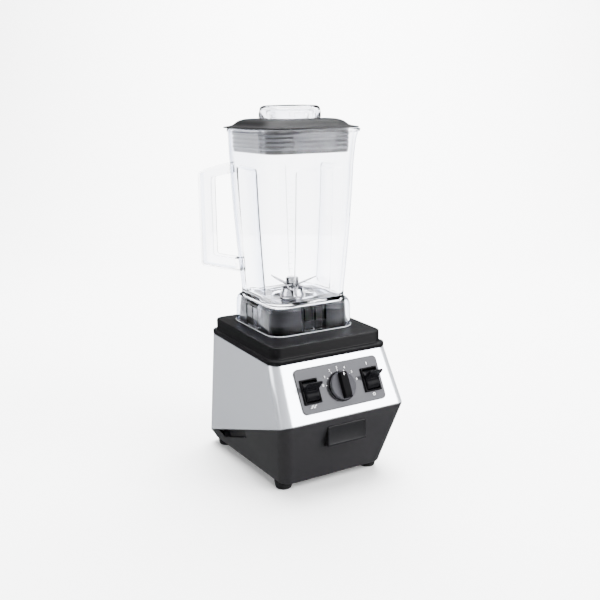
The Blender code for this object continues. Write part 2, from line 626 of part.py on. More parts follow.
def make_lid(black):
    """Soft black lid: a domed top with a thin rim, and a hollow ribbed plug that seals inside the jar."""
    under = JAR_RIM_Z + 0.6
    well_z = PLUG_Z + 28
    rings = [matched_circle(WELL_R, LID_TOP_Z), square(46, 22, LID_TOP_Z), square(57, 25, LID_TOP_Z - 1.4),
             square(62.8, 27, LID_TOP_Z - 4), square(66.9, 28, 493.8),
             square(LID_HALF - 0.8, LID_CORNER, 491.2), square(LID_HALF, LID_CORNER, 490.4),
             square(LID_HALF - 0.6, LID_CORNER, under), square(PLUG_HALF, 20, under)]
    for z in (479.5, 472.0, 464.5):
        rings += [square(PLUG_HALF - 0.3, 20, z + 1.2), square(PLUG_HALF + 0.6, 20, z),
                  square(PLUG_HALF - 0.4, 20, z - 1.2)]
    rings += [square(PLUG_HALF - 1.2, 19, PLUG_Z), square(PLUG_HALF - 4.0, 17, PLUG_Z),
              square(PLUG_HALF - 7.5, 17, LID_TOP_Z - 9), matched_circle(WELL_R + 2.6, LID_TOP_Z - 4),
              matched_circle(WELL_R + 2.6, well_z), matched_circle(WELL_R, well_z)]
    return loft("lid", rings, black, closed=True)


def make_cap(clear):
    """Clear measuring cap: a round top with a skirt on the lid and a neck down through the well."""
    low = LID_TOP_Z + 0.5
    profile = [(1.0, CAP_TOP_Z - 3.0), (CAP_NECK_R - 2.5, CAP_TOP_Z - 3.2), (CAP_NECK_R - 2.5, CAP_NECK_Z),
               (CAP_NECK_R, CAP_NECK_Z), (CAP_NECK_R, CAP_TOP_Z - 3.2), (38.0, CAP_TOP_Z - 4.0),
               (CAP_R - 2.5, 513), (CAP_R - 2.5, low), (CAP_R, low), (CAP_R, 513.8), (41.2, 517.4),
               (36.5, 519.4), (1.0, CAP_TOP_Z)]
    return turned("measuring_cap", profile, clear, 32, closed=False)


# ---------------------------------------------------------------- assembly

def main():
    for leftover in list(bpy.data.objects):
        bpy.data.objects.remove(leftover, do_unlink=True)
    housing = finish("housing_plastic", (0.045, 0.045, 0.05), 0.55)
    silver = finish("silver_paint", (0.62, 0.64, 0.67), 0.28, 0.85)
    plate = finish("plate_plastic", (0.02, 0.02, 0.022), 0.42)
    panel = finish("panel_grey", (0.24, 0.25, 0.27), 0.2, 0.2)
    gloss = finish("control_black", (0.012, 0.012, 0.014), 0.22)
    rubber = finish("rubber", (0.015, 0.015, 0.017), 0.5)
    clear = finish("clear_copolyester", (0.9, 0.92, 0.95), 0.04, 0.0, 0.25)
    lid = finish("lid_black", (0.03, 0.03, 0.034), 0.3)
    steel = finish("polished_steel", (0.7, 0.7, 0.7), 0.15, 1.0)
    iron = finish("laminated_iron", (0.2, 0.2, 0.21), 0.45, 0.9)
    copper = finish("copper", (0.7, 0.3, 0.15), 0.3, 1.0)
    zinc = finish("cast_zinc", (0.35, 0.35, 0.36), 0.4, 0.9)
    inner = finish("inner_plastic", (0.08, 0.08, 0.09), 0.5)
    board = finish("circuit_board", (0.02, 0.12, 0.04), 0.4)
    carbon = finish("carbon", (0.03, 0.03, 0.03), 0.6)

    make_lower_housing(housing)
    make_upper_housing(silver)
    make_top_plate(plate)
    make_bottom_cover(housing)
    make_feet(rubber, steel)
    make_name_plate(housing)
    make_cable_gland(housing)
    make_panel(panel)
    make_switch("pulse", -1, gloss, gloss)
    make_switch("power", 1, gloss, gloss)
    make_knob(gloss, steel, inner)
    make_motor(iron, copper, zinc, inner, rubber, carbon)
    make_drive_socket(zinc)
    make_control_board(board, inner)
    make_pad(rubber)
    make_jar(clear)
    make_hub(steel, rubber)
    make_blades(steel)
    make_lid(lid)
    make_cap(clear)


main()
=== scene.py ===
import math

import bmesh
import bpy
from mathutils import Matrix, Vector


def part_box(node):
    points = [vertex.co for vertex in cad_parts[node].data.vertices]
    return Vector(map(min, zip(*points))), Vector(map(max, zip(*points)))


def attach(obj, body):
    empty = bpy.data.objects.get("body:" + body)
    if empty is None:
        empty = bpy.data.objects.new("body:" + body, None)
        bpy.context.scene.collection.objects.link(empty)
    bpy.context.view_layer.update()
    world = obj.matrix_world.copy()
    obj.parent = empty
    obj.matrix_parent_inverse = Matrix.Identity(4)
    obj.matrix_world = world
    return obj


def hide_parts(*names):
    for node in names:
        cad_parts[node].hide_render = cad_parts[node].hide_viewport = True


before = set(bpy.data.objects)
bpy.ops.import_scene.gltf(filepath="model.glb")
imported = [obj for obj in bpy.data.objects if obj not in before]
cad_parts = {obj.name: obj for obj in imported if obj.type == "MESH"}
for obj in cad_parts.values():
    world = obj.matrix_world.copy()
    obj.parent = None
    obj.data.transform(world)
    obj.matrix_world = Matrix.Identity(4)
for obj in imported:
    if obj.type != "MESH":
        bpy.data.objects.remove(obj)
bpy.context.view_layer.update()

# Lengths are millimetres from the motor's upright axis and from the worktop, turned to metres in each mesh.


# ---------------------------------------------------------------- lower housing
# A tapered tub injection moulded in dark grey ABS with a fine spark-eroded grain. It carries the motor, and
# its slanted upper edge meets the silver shell; a finger slot is sunk into each side for lifting.

shaft_low, shaft_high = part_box("motor_shaft")
AXIS = Vector(((shaft_low.x + shaft_high.x) / 2, (shaft_low.y + shaft_high.y) / 2, 0))
ON_AXIS = Matrix.Translation(AXIS) @ Matrix.Scale(0.001, 4)

TUB_TOP = (99.9, 97.8, 149.9, 107.1, 17.0)      # half width front, back, reach front, back, corner radius
TUB_FOOT = (83.3, 92.4, 116.7, 102.0, 16.0)
TUB_Z, TUB_WALL = 12.0, 2.6
SPLIT_FRONT_Z, SPLIT_BACK_Z = 111.1, 19.5
SPLIT_SLOPE = (SPLIT_BACK_Z - SPLIT_FRONT_Z) / (TUB_TOP[2] + TUB_TOP[3])


class Wire:
    """An output in a node tree; arithmetic on wires and numbers adds the Math nodes that it needs."""

    def __init__(self, tree, socket):
        self.tree, self.socket = tree, socket

    def reckon(self, operation, first, second):
        return node(self.tree, "ShaderNodeMath", {"operation": operation}, {0: first, 1: second})

    def __add__(self, other):
        return self.reckon("ADD", self, other)

    def __sub__(self, other):
        return self.reckon("SUBTRACT", self, other)

    def __rsub__(self, other):
        return self.reckon("SUBTRACT", other, self)

    def __mul__(self, other):
        return self.reckon("MULTIPLY", self, other)

    def __truediv__(self, other):
        return self.reckon("DIVIDE", self, other)

    __radd__ = __add__
    __rmul__ = __mul__


def node(tree, kind, settings=(), values=(), out=0):
    """Adds one node: its settings first, then the values or wires of its sockets; returns one output."""
    made = tree.nodes.new(kind)
    for key, value in dict(settings).items():
        if key == "stops":
            while len(made.color_ramp.elements) < len(value):
                made.color_ramp.elements.new(0.5)
            for element, (place, colour) in zip(made.color_ramp.elements, value):
                element.position = place
                element.color = colour
        else:
            setattr(made, key, value)
    for key, value in dict(values).items():
        if isinstance(value, Wire):
            tree.links.new(value.socket, made.inputs[key])
        else:
            made.inputs[key].default_value = value
    return Wire(tree, made.outputs[out])


def finish(name, fixed, pattern):
    """A finish: fixed values go on the shader's own sockets, and pattern(tree) gives what varies."""
    material = bpy.data.materials.new(name)
    material.use_nodes = True
    tree = material.node_tree
    shader = tree.nodes["Principled BSDF"]
    for key, value in fixed.items():
        shader.inputs[key].default_value = value
    for key, wire in pattern(tree).items():
        tree.links.new(wire.socket, shader.inputs[key])
    return material


def from_centre(tree, centre=AXIS, stretch=(1, 1, 1)):
    """Object coordinates measured from a centre, stretched along the axes where a pattern needs it."""
    place = node(tree, "ShaderNodeTexCoord", out="Object")
    shift = [-c * s for c, s in zip(centre, stretch)]
    return node(tree, "ShaderNodeMapping", {}, {"Vector": place, "Location": shift, "Scale": stretch})


def noise(tree, place, scale, detail=2.0, rough=0.5):
    return node(tree, "ShaderNodeTexNoise", {},
                {"Vector": place, "Scale": scale, "Detail": detail, "Roughness": rough})


def blend_colours(tree, factor, first, second):
    return node(tree, "ShaderNodeMix", {"data_type": "RGBA", "clamp_factor": True},
                {0: factor, 6: (*first, 1), 7: (*second, 1)}, out=2)


def surface(tree, shade, dark, light, rough, relief=None, depth=0.0):
    """What varies over a finish: a blend of two colours, a roughness and, from a relief, a bump."""
    varied = {"Base Color": blend_colours(tree, shade, dark, light), "Roughness": rough}
    if relief:
        varied["Normal"] = node(tree, "ShaderNodeBump", {}, {"Height": relief, "Distance": depth})
    return varied


def moulded(dark, light, rough, grain=1500.0, depth=0.00006):
    """Pattern of a moulded plastic: an even eroded grain, slow cloudiness in the colour, a varying sheen."""
    def pattern(tree):
        place = from_centre(tree)
        fine = noise(tree, place, grain, 3.0, 0.6)
        slow = noise(tree, place, 16.0, 4.0, 0.55)
        return surface(tree, slow * 0.8 + fine * 0.2, dark, light,
                       rough + (slow - 0.5) * 0.08 + (fine - 0.5) * 0.06, fine, depth)
    return pattern


def outline(shape, inset=0.0, z=0.0, steps=14):
    """A round-cornered four-sided ring; z is a height or a function of y."""
    front, back, reach_front, reach_back, corner = shape
    radius = max(corner - inset, 0.8)
    ring = []
    for half, reach, side, start in ((back, reach_back, 1, 0), (back, reach_back, -1, 90),
                                     (front, -reach_front, -1, 180), (front, -reach_front, 1, 270)):
        middle_x = side * (half - inset - radius)
        middle_y = reach - math.copysign(inset + radius, reach)
        for i in range(steps + 1):
            turn = math.radians(start + 90 * i / steps)
            y = middle_y + radius * math.sin(turn)
            ring.append((middle_x + radius * math.cos(turn), y, z(y) if callable(z) else z))
    return ring


def stack(made, rows):
    """What one function makes, in order, of each row of arguments; most often a stack of rings."""
    return [made(*row) for row in rows]


def skinned(rings, closed=True):
    """Rings of equal count joined with quads; an open stack of rings is capped at both ends."""
    bm = bmesh.new()
    rows = [[bm.verts.new(p) for p in ring] for ring in rings]
    count = len(rings[0])
    for k in range(len(rows) if closed else len(rows) - 1):
        lower, upper = rows[k], rows[(k + 1) % len(rows)]
        for i in range(count):
            j = (i + 1) % count
            bm.faces.new((lower[i], lower[j], upper[j], upper[i]))
    if not closed:
        bm.faces.new(reversed(rows[0]))
        bm.faces.new(rows[-1])
    return bm


def prism(points, low, high, axis=0):
    """A flat outline pushed along one axis, from low to high."""
    return skinned([[(*p[:axis], at, *p[axis:]) for p in points] for at in (low, high)], closed=False)


def brick(low, high, bm=None):
    """A block between two corners, in a mesh of its own or added to another."""
    bm = bm or bmesh.new()
    middle, size = (Vector(low) + Vector(high)) / 2, Vector(high) - Vector(low)
    bmesh.ops.create_cube(bm, size=1.0, matrix=Matrix.LocRotScale(middle, None, size))
    return bm


def shaped(name, bm, material=None, place=ON_AXIS, sharp=32):
    """Puts a mesh in its place and links it: the object itself stays at the origin, unturned and unscaled."""
    bm.transform(place)
    bmesh.ops.recalc_face_normals(bm, faces=bm.faces)
    mesh = bpy.data.meshes.new(name)
    bm.to_mesh(mesh)
    bm.free()
    mesh.shade_smooth()
    mesh.set_sharp_from_angle(angle=math.radians(sharp))
    if material:
        mesh.materials.append(material)
    piece = bpy.data.objects.new(name, mesh)
    bpy.context.scene.collection.objects.link(piece)
    return piece


def settled(piece, sharp=32):
    """Turns a piece's modifiers into a plain mesh."""
    view = bpy.context.evaluated_depsgraph_get()
    mesh = bpy.data.meshes.new_from_object(piece.evaluated_get(view))
    piece.modifiers.clear()
    mesh.name = piece.name
    piece.data = mesh
    mesh.shade_smooth()
    mesh.set_sharp_from_angle(angle=math.radians(sharp))
    return piece


def combined(piece, operation, *others):
    """Cuts the other shapes from a piece or melts them into it, and removes them."""
    for other in others:
        modifier = piece.modifiers.new(operation.lower(), "BOOLEAN")
        modifier.operation = operation
        modifier.object = other
        modifier.solver = "EXACT"
    settled(piece)
    for other in others:
        bpy.data.objects.remove(other, do_unlink=True)
    return piece


def cut(piece, shape, place=ON_AXIS):
    combined(piece, "DIFFERENCE", shaped("cutter", shape, place=place))


def eased(piece, width, segments=3, angle=35):
    """Breaks the sharp edges with a small radius, as a mould or a tumbling drum leaves them."""
    modifier = piece.modifiers.new("edge_radius", "BEVEL")
    modifier.width = width * 0.001
    modifier.segments = segments
    modifier.limit_method = "ANGLE"
    modifier.angle_limit = math.radians(angle)
    return settled(piece, 40)


def stands_for(piece, body, slot, *nodes):
    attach(piece, body)
    if nodes:
        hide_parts(*nodes)
    return piece


def split_z(y):
    return SPLIT_FRONT_Z + SPLIT_SLOPE * (y + TUB_TOP[2])


def by_split(gap):
    """The height of a ring that follows the slanted joint, a gap above it."""
    return lambda y: split_z(y) + gap


tub_plastic = finish("tub_plastic", {"Specular IOR Level": 0.85},
                     moulded((0.0032, 0.0027, 0.0044), (0.0046, 0.0039, 0.0060), 0.46))

tub = shaped("lower_tub", skinned(stack(outline, (
    (TUB_FOOT, 2.2, TUB_Z), (TUB_FOOT, 0.9, TUB_Z + 0.5), (TUB_FOOT, 0.1, TUB_Z + 1.8),
    (TUB_FOOT, -0.4, TUB_Z + 3.4), (TUB_TOP, 0.2, by_split(-0.9)), (TUB_TOP, 0.6, by_split(-0.15)),
    (TUB_TOP, 0.2 + TUB_WALL, by_split(-0.15)), (TUB_FOOT, 3.2, TUB_Z + 3), (TUB_FOOT, 4.2, TUB_Z)))))
slot_tilt = Matrix.Rotation(math.atan(SPLIT_SLOPE), 4, "X")
slot_spot = ON_AXIS @ Matrix.Translation((0, 17, split_z(17))) @ slot_tilt
for side in (-1, 1):
    near, far = sorted((side * 79.0, side * 90.0))
    backing = brick((near, -54, -16.5), (far, 54, -0.4))
    combined(tub, "UNION", shaped("slot_backing", backing, place=slot_spot))
    near, far = sorted((side * 82.0, side * 110.0))
    cut(tub, prism([(-51, -1.4), (-43, -13.6), (43, -13.6), (51, -1.4)], near, far), slot_spot)
tub.data.materials.append(tub_plastic)
eased(tub, 0.7, 3, 38)
stands_for(tub, "base", "housing_plastic", "lower_housing")


# ---------------------------------------------------------------- bottom cover, feet and their screws
# A flat moulded cover closes the tub and lets the motor's cooling air in through slots. Four turned rubber
# feet stand under it, each held by one cross-head screw that also holds the cover.

FOOT_SPOTS = [(-70.5, -94.6, 0), (70.5, -94.6, 0), (-76.0, 84.0, 0), (76.0, 84.0, 0)]
FOOT_NAMES = ("front_left", "front_right", "rear_left", "rear_right")
FOOT_SIDE = [(5.0, 0.6), (5.6, 0.0), (10.4, 0.0), (11.0, 0.5), (11.6, 1.8), (12.1, 4.0), (12.7, 7.0),
             (13.0, 10.2), (12.8, 11.3), (12.2, 11.7), (2.3, 11.7), (2.3, 5.0), (4.6, 5.0), (5.0, 4.6)]
SCREW_SIDE = [(0.6, 2.6), (3.6, 2.6), (4.2, 2.9), (4.4, 3.4), (4.4, 4.5), (1.9, 4.9), (1.9, 18.6),
              (1.4, 19.0)]


def lathed(side, count=40, closed=True):
    """A turned shape from (radius, height) points; an open side is capped at its ends."""
    rings = [[(r * math.cos(2 * math.pi * i / count), r * math.sin(2 * math.pi * i / count), z)
              for i in range(count)] for r, z in side]
    return skinned(rings, closed)


def dressed(material, *nodes):
    """Gives CAD nodes that keep their shape a finish."""
    for name in nodes:
        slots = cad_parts[name].data.materials
        slots.clear()
        slots.append(material)


def geometry_tree(name, inputs):
    """A Geometry Nodes tree with a geometry in and out and named inputs; returns it and its input wires."""
    tree = bpy.data.node_groups.new(name, "GeometryNodeTree")
    tree.interface.new_socket("Geometry", in_out="INPUT", socket_type="NodeSocketGeometry")
    for key, kind in inputs.items():
        tree.interface.new_socket(key, in_out="INPUT", socket_type="NodeSocket" + kind)
    tree.interface.new_socket("Geometry", in_out="OUTPUT", socket_type="NodeSocketGeometry")
    source = tree.nodes.new("NodeGroupInput")
    return tree, {key: Wire(tree, source.outputs[key]) for key in ("Geometry", *inputs)}


def ends_in(tree, geometry, material):
    """Closes a tree: its instances are made real, get their finish, and go to the output."""
    real = node(tree, "GeometryNodeRealizeInstances", {}, {"Geometry": geometry})
    done = node(tree, "GeometryNodeSetMaterial", {}, {"Geometry": real, "Material": material})
    tree.links.new(done.socket, tree.nodes.new("NodeGroupOutput").inputs[0])


def grown(name, tree, values, seed=None, sharp=32):
    """Runs a tree on a seed mesh with its inputs set, and keeps the result as a plain mesh."""
    piece = seed or shaped(name, bmesh.new())
    piece.name = name
    modifier = piece.modifiers.new("grown", "NODES")
    modifier.node_group = tree
    for item in tree.interface.items_tree:
        if item.in_out == "INPUT" and item.name in values:
            modifier[item.identifier] = values[item.name]
    return settled(piece, sharp)


repeat_tree, wires = geometry_tree("repeat_on_spots", {"Part": "Object", "Finish": "Material"})
part = node(repeat_tree, "GeometryNodeObjectInfo", {}, {"Object": wires["Part"]}, out="Geometry")
copies = node(repeat_tree, "GeometryNodeInstanceOnPoints", {},
              {"Points": wires["Geometry"], "Instance": part})
ends_in(repeat_tree, copies, wires["Finish"])


def repeated(name, master, spots, material):
    """Copies one small part, made in metres, onto a set of spots in millimetres from the axis."""
    bm = bmesh.new()
    for spot in spots:
        bm.verts.new(spot)
    piece = grown(name, repeat_tree, {"Part": master, "Finish": material}, shaped(name, bm))
    bpy.data.objects.remove(master, do_unlink=True)
    return piece


foot_rubber = finish("foot_rubber", {"Specular IOR Level": 0.3},
                     moulded((0.0035, 0.0035, 0.0038), (0.0060, 0.0060, 0.0063), 0.62, 900.0, 0.00008))


def worn_steel(tree):
    """Pattern of plated steel: turning marks round the upright axis and a slightly uneven polish."""
    place = from_centre(tree, stretch=(1, 1, 14))
    marks = noise(tree, place, 220.0, 3.0, 0.6)
    smear = noise(tree, place, 30.0, 3.0)
    return surface(tree, smear, (0.42, 0.42, 0.43), (0.56, 0.56, 0.57),
                   0.16 + marks * 0.12 + (smear - 0.5) * 0.08, marks, 0.00004)


screw_steel = finish("screw_steel", {"Metallic": 1.0}, worn_steel)
METRES = Matrix.Scale(0.001, 4)
feet = repeated("feet", shaped("foot", lathed(FOOT_SIDE), place=METRES), FOOT_SPOTS, foot_rubber)
stands_for(feet, "base", "rubber", *["foot_" + n for n in FOOT_NAMES])

screw = shaped("screw", lathed(SCREW_SIDE, 24, closed=False), place=METRES)
cut(screw, brick((-2.6, -0.5, 1.0), (2.6, 0.5, 4.0)), METRES)
cut(screw, brick((-0.5, -2.6, 1.0), (0.5, 2.6, 4.0)), METRES)
screws = repeated("foot_screws", screw, FOOT_SPOTS, screw_steel)
stands_for(screws, "base", "polished_steel", *["foot_screw_" + n for n in FOOT_NAMES])

dressed(tub_plastic, "bottom_cover")


# ---------------------------------------------------------------- motor
# An upright series motor: a stack of varnished laminations with copper field coils at both ends, hung
# between two cast brackets on rubber mounts, with carbon brushes on a copper commutator and a fan below.

def layered(pitch, depth, scale, detail, dark, light, rough, spread):
    """Pattern of sheets or turns lying round the upright axis at a pitch, under an uneven varnish."""
    def pattern(tree):
        place = from_centre(tree)
        height = node(tree, "ShaderNodeSeparateXYZ", {}, {"Vector": place}, out="Z")
        layer = node(tree, "ShaderNodeMath", {"operation": "PINGPONG"}, {0: height, 1: pitch}) / pitch
        varnish = noise(tree, place, scale, detail)
        return surface(tree, varnish, dark, light, rough + varnish * spread, layer, depth)
    return pattern


def sand_cast(tree):
    """Pattern of a die-cast bracket: a fine skin with soft pitting."""
    place = from_centre(tree)
    skin = noise(tree, place, 700.0, 4.0, 0.6)
    slow = noise(tree, place, 40.0, 3.0)
    return surface(tree, slow, (0.085, 0.087, 0.09), (0.14, 0.142, 0.147), 0.42 + slow * 0.2, skin, 0.0001)


def soldered(tree):
    """Pattern of a lacquered board: green resist, with paler copper tracks showing faintly through."""
    place = from_centre(tree)
    tracks = node(tree, "ShaderNodeTexBrick", {"offset": 0.5},
                  {"Vector": place, "Scale": 220.0, "Mortar Size": 0.05}, out="Fac")
    return surface(tree, tracks, (0.002, 0.022, 0.007), (0.006, 0.045, 0.015),
                   0.3 + noise(tree, place, 50.0) * 0.2, tracks, 0.00005)


laminations = finish("laminations", {"Metallic": 0.9}, layered(
    0.0003, 0.0001, 60.0, 4.0, (0.040, 0.041, 0.044), (0.10, 0.088, 0.066), 0.32, 0.25))
coil_copper = finish("coil_copper", {"Metallic": 0.8, "Coat Weight": 0.5, "Coat Roughness": 0.15}, layered(
    0.0004, 0.0003, 90.0, 3.0, (0.18, 0.05, 0.02), (0.34, 0.12, 0.045), 0.28, 0.2))
cast_metal = finish("cast_metal", {"Metallic": 0.95}, sand_cast)
inner_plastic = finish("inner_plastic", {}, moulded((0.010, 0.010, 0.011), (0.016, 0.016, 0.017), 0.5))
brush_carbon = finish("brush_carbon", {}, moulded([0.004] * 3, [0.008] * 3, 0.6, 500.0))
mount_rubber = finish("mount_rubber", {}, moulded([0.004] * 3, [0.007] * 3, 0.7, 400.0))
board_lacquer = finish("board_lacquer", {}, soldered)
dressed(laminations, "motor_stator", "armature")
dressed(coil_copper, "field_winding_upper", "field_winding_lower", "commutator")
dressed(cast_metal, "motor_bracket_upper", "motor_bracket_lower", "brush_holder_left", "brush_holder_right",
        "drive_socket")
dressed(screw_steel, "motor_bearing_upper", "motor_bearing_lower", "motor_shaft")
dressed(inner_plastic, "cooling_fan", "fan_duct", "speed_control")
dressed(brush_carbon, "carbon_brush_left", "carbon_brush_right")
dressed(mount_rubber, "motor_mount_1", "motor_mount_2", "motor_mount_3", "motor_mount_4")
dressed(board_lacquer, "control_board")


# ---------------------------------------------------------------- silver shell
# A thin moulded shell, sprayed with a metallic silver and a clear lacquer. Its front face leans back and
# carries the controls; it drops over the tub's slanted edge, and the mains lead leaves through its back.

FLANGE = (93.5, 93.5, 110.8, 92.7, 15.0)
SHELL_TOP_Z = 183.3
FACE_TOP_Z = 183.6
FACE_LENGTH = math.hypot(TUB_TOP[2] - FLANGE[2], FACE_TOP_Z - SPLIT_FRONT_Z)
FACE_UP = Vector((0, (TUB_TOP[2] - FLANGE[2]) / FACE_LENGTH, (FACE_TOP_Z - SPLIT_FRONT_Z) / FACE_LENGTH))
FACE_TILT = Matrix.Rotation(math.acos(FACE_UP.y), 4, "X")
PANEL_X, PANEL_UP = 1.0, 42.6
SWITCH_OUT, SWITCH_UP, KNOB_UP = 48.4, 41.2, 40.0
SWITCH_HOLE = (12.0, 15.7)


def on_face(x, up):
    """The place of a part on the front face: its own z is out of the face, its own y up the slope."""
    spot = Vector((x, -TUB_TOP[2], SPLIT_FRONT_Z)) + FACE_UP * up
    return ON_AXIS @ Matrix.Translation(spot) @ FACE_TILT


def sprayed(tree):
    """Pattern of silver paint: fine aluminium flakes under lacquer, with a trace of orange peel."""
    place = from_centre(tree)
    flake = node(tree, "ShaderNodeTexVoronoi", {}, {"Vector": place, "Scale": 2400.0}, out="Color")
    spark = node(tree, "ShaderNodeSeparateColor", {}, {"Color": flake}, out=0)
    peel = noise(tree, place, 260.0, 2.0)
    slow = noise(tree, place, 9.0, 3.0)
    return surface(tree, spark * 0.35 + slow * 0.65, (0.590, 0.612, 0.660), (0.635, 0.657, 0.705),
                   0.24 + (spark - 0.5) * 0.05 + (slow - 0.5) * 0.04, peel, 0.00001)


def face_holes(low, high, spindle_r):
    """Cutters through the sloping face: a block for each switch and a round one for the knob's spindle."""
    half_x, half_y = SWITCH_HOLE
    cutters = [shaped("hole", brick((-half_x, -half_y, low), (half_x, half_y, high)),
                      place=on_face(PANEL_X + side * SWITCH_OUT, SWITCH_UP)) for side in (-1, 1)]
    bore = lathed([(spindle_r, low), (spindle_r, high)], 24, closed=False)
    return cutters + [shaped("hole", bore, place=on_face(PANEL_X, KNOB_UP))]


silver_paint = finish("silver_paint", {"Metallic": 0.72, "Coat Weight": 0.25, "Coat Roughness": 0.08},
                      sprayed)
shell = shaped("silver_shell", skinned(stack(outline, (
    (TUB_TOP, 0.5, by_split(0.15)), (TUB_TOP, 0.12, by_split(0.35)), (TUB_TOP, 0.0, by_split(0.8)),
    (FLANGE, 0.4, SHELL_TOP_Z - 0.5), (FLANGE, 0.8, SHELL_TOP_Z), (FLANGE, 0.4 + TUB_WALL, SHELL_TOP_Z),
    (TUB_TOP, TUB_WALL, by_split(0.15))))), silver_paint)
back_lean = (TUB_TOP[3] - FLANGE[3]) / (FACE_TOP_Z - SPLIT_BACK_Z)
GLAND_AT = (ON_AXIS @ Matrix.Translation((45.0, TUB_TOP[3] - back_lean * (42.0 - SPLIT_BACK_Z), 42.0))
            @ Matrix.Rotation(math.atan(back_lean) - math.pi / 2, 4, "X"))
gland_hole = shaped("hole", lathed([(7.4, -12), (7.4, 8)], 32, closed=False), place=GLAND_AT)
combined(shell, "DIFFERENCE", *face_holes(-12, 12, 6), gland_hole)
stands_for(shell, "base", "silver_paint", "upper_housing")


# ---------------------------------------------------------------- cable gland
# A ribbed rubber collar snapped into the shell's back wall. The mains lead would leave through it.

gland_side = [(4.2, -8), (7.0, -8), (7.0, 0.3), (9.6, 0.3), (9.8, 0.7), (9.6, 1.9), (8.9, 2.3), (9.3, 3.0),
              (9.0, 4.0), (8.4, 4.4), (4.8, 4.4), (4.2, 3.9)]
gland = shaped("cable_collar", lathed(gland_side, 36), foot_rubber, GLAND_AT)
stands_for(gland, "base", "housing_plastic", "cable_gland")


# ---------------------------------------------------------------- name plate
# A plain raised plate low on the front, moulded separately and pressed into the tub; it is left blank.

PLATE_MIDDLE, PLATE_HALF = 1.8, 30.5
tub_lean = (TUB_TOP[2] - TUB_FOOT[2]) / (SPLIT_FRONT_Z - TUB_Z)


def tub_wall_y(z, sunk):
    return -TUB_TOP[2] + tub_lean * (SPLIT_FRONT_Z - z) - sunk


plate_y = tub_wall_y(99.0, 1.6)
badge_side = [(plate_y, 70.5), (tub_wall_y(67.0, 0.5), 67.0), (tub_wall_y(99.0, 0.5), 99.0), (plate_y, 98.6)]
badge = shaped("blank_plate", prism(badge_side, PLATE_MIDDLE - PLATE_HALF, PLATE_MIDDLE + PLATE_HALF))
cut(badge, brick((PLATE_MIDDLE - PLATE_HALF + 2, plate_y - 2, 73),
                 (PLATE_MIDDLE + PLATE_HALF - 2, plate_y + 0.35, 96.2)))
badge_plastic = finish("badge_plastic", {"Specular IOR Level": 0.3},
                       moulded((0.0026, 0.0026, 0.0034), (0.0036, 0.0036, 0.0046), 0.42, 1800.0, 0.00004))
badge.data.materials.append(badge_plastic)
eased(badge, 0.5, 3)
stands_for(badge, "base", "housing_plastic", "name_plate")


# ---------------------------------------------------------------- control panel
# A polished grey plate with a printed dark edge line, bonded to the shell. Its marks are plain numerals,
# dots and symbols, printed in white: numbers round the knob, a bar and a ring at the main switch, a pulse.

KNOB_R = 20.0
PANEL = (65.8, 65.8, 30.5, 30.5, 6.0)
PANEL_RIM = (66.55, 66.55, 31.25, 31.25, 6.7)
INK_Z, INK_TOP_Z = 1.75, 1.83


def mirror_grey(tree):
    """Pattern of a back-printed acrylic plate: almost a mirror, with the faintest haze and dust."""
    slow = noise(tree, from_centre(tree), 22.0, 3.0)
    dust = noise(tree, from_centre(tree), 900.0, 2.0)
    return surface(tree, slow, (0.0290, 0.0291, 0.0318), (0.0345, 0.0347, 0.0376), 0.07 + dust * 0.05,
                   slow, 0.00001)


panel_grey = finish("panel_grey", {"Metallic": 0.3, "Specular IOR Level": 0.01}, mirror_grey)
edge_black = finish("panel_edge", {"Specular IOR Level": 0.3},
                    moulded((0.0045, 0.0045, 0.0050), (0.0060, 0.0060, 0.0066), 0.35))
panel_place = on_face(PANEL_X, PANEL_UP)
panel = shaped("control_plate", skinned(stack(outline, (
    (PANEL, 0.0, 0.3), (PANEL, 0.0, 1.5), (PANEL, 0.1, 1.65), (PANEL, 0.35, INK_Z))), closed=False),
    panel_grey, panel_place, sharp=12)
combined(panel, "DIFFERENCE", *face_holes(-4, 6, 5))
settled(panel, 12)
stands_for(panel, "base", "panel_grey", "control_panel")
rim_line = shaped("panel_edge_line", skinned(stack(outline, (
    (PANEL_RIM, 0.0, 0.2), (PANEL_RIM, 0.0, 1.5), (PANEL_RIM, 0.3, 1.7), (PANEL, 0.05, 1.7),
    (PANEL, 0.05, 0.2)))), edge_black, panel_place)
stands_for(rim_line, "base", "panel_grey")


def printed(tree):
    """Pattern of screen-printed ink: even white with a slightly uneven edge coverage."""
    ink = noise(tree, from_centre(tree), 700.0, 3.0)
    return surface(tree, ink, (0.60, 0.60, 0.61), (0.75, 0.75, 0.76), 0.45 + ink * 0.1)


white_ink = finish("white_ink", {}, printed)
marks = lathed([(1.4, INK_Z), (2.1, INK_Z), (2.1, INK_TOP_Z), (1.4, INK_TOP_Z)], 20)
marks.transform(Matrix.Translation((SWITCH_OUT, -22.4, 0)))
for x, low_x, low_y, high_x, high_y in (
        (SWITCH_OUT, -0.5, 19.6, 0.5, 23.4), (-SWITCH_OUT, -5.4, -23.6, -2.6, -22.9),
        (-SWITCH_OUT, -3.3, -23.6, -2.6, -20.2), (-SWITCH_OUT, -3.3, -20.9, -0.2, -20.2),
        (-SWITCH_OUT, -0.9, -23.6, -0.2, -20.2), (-SWITCH_OUT, -0.9, -23.6, 2.2, -22.9),
        (-SWITCH_OUT, 1.5, -23.6, 2.2, -20.2), (-SWITCH_OUT, 1.5, -20.9, 4.6, -20.2)):
    brick((x + low_x, low_y, INK_Z), (x + high_x, high_y, INK_TOP_Z), marks)
marks = shaped("printed_symbols", marks, white_ink, panel_place)
stands_for(marks, "base", "panel_grey")

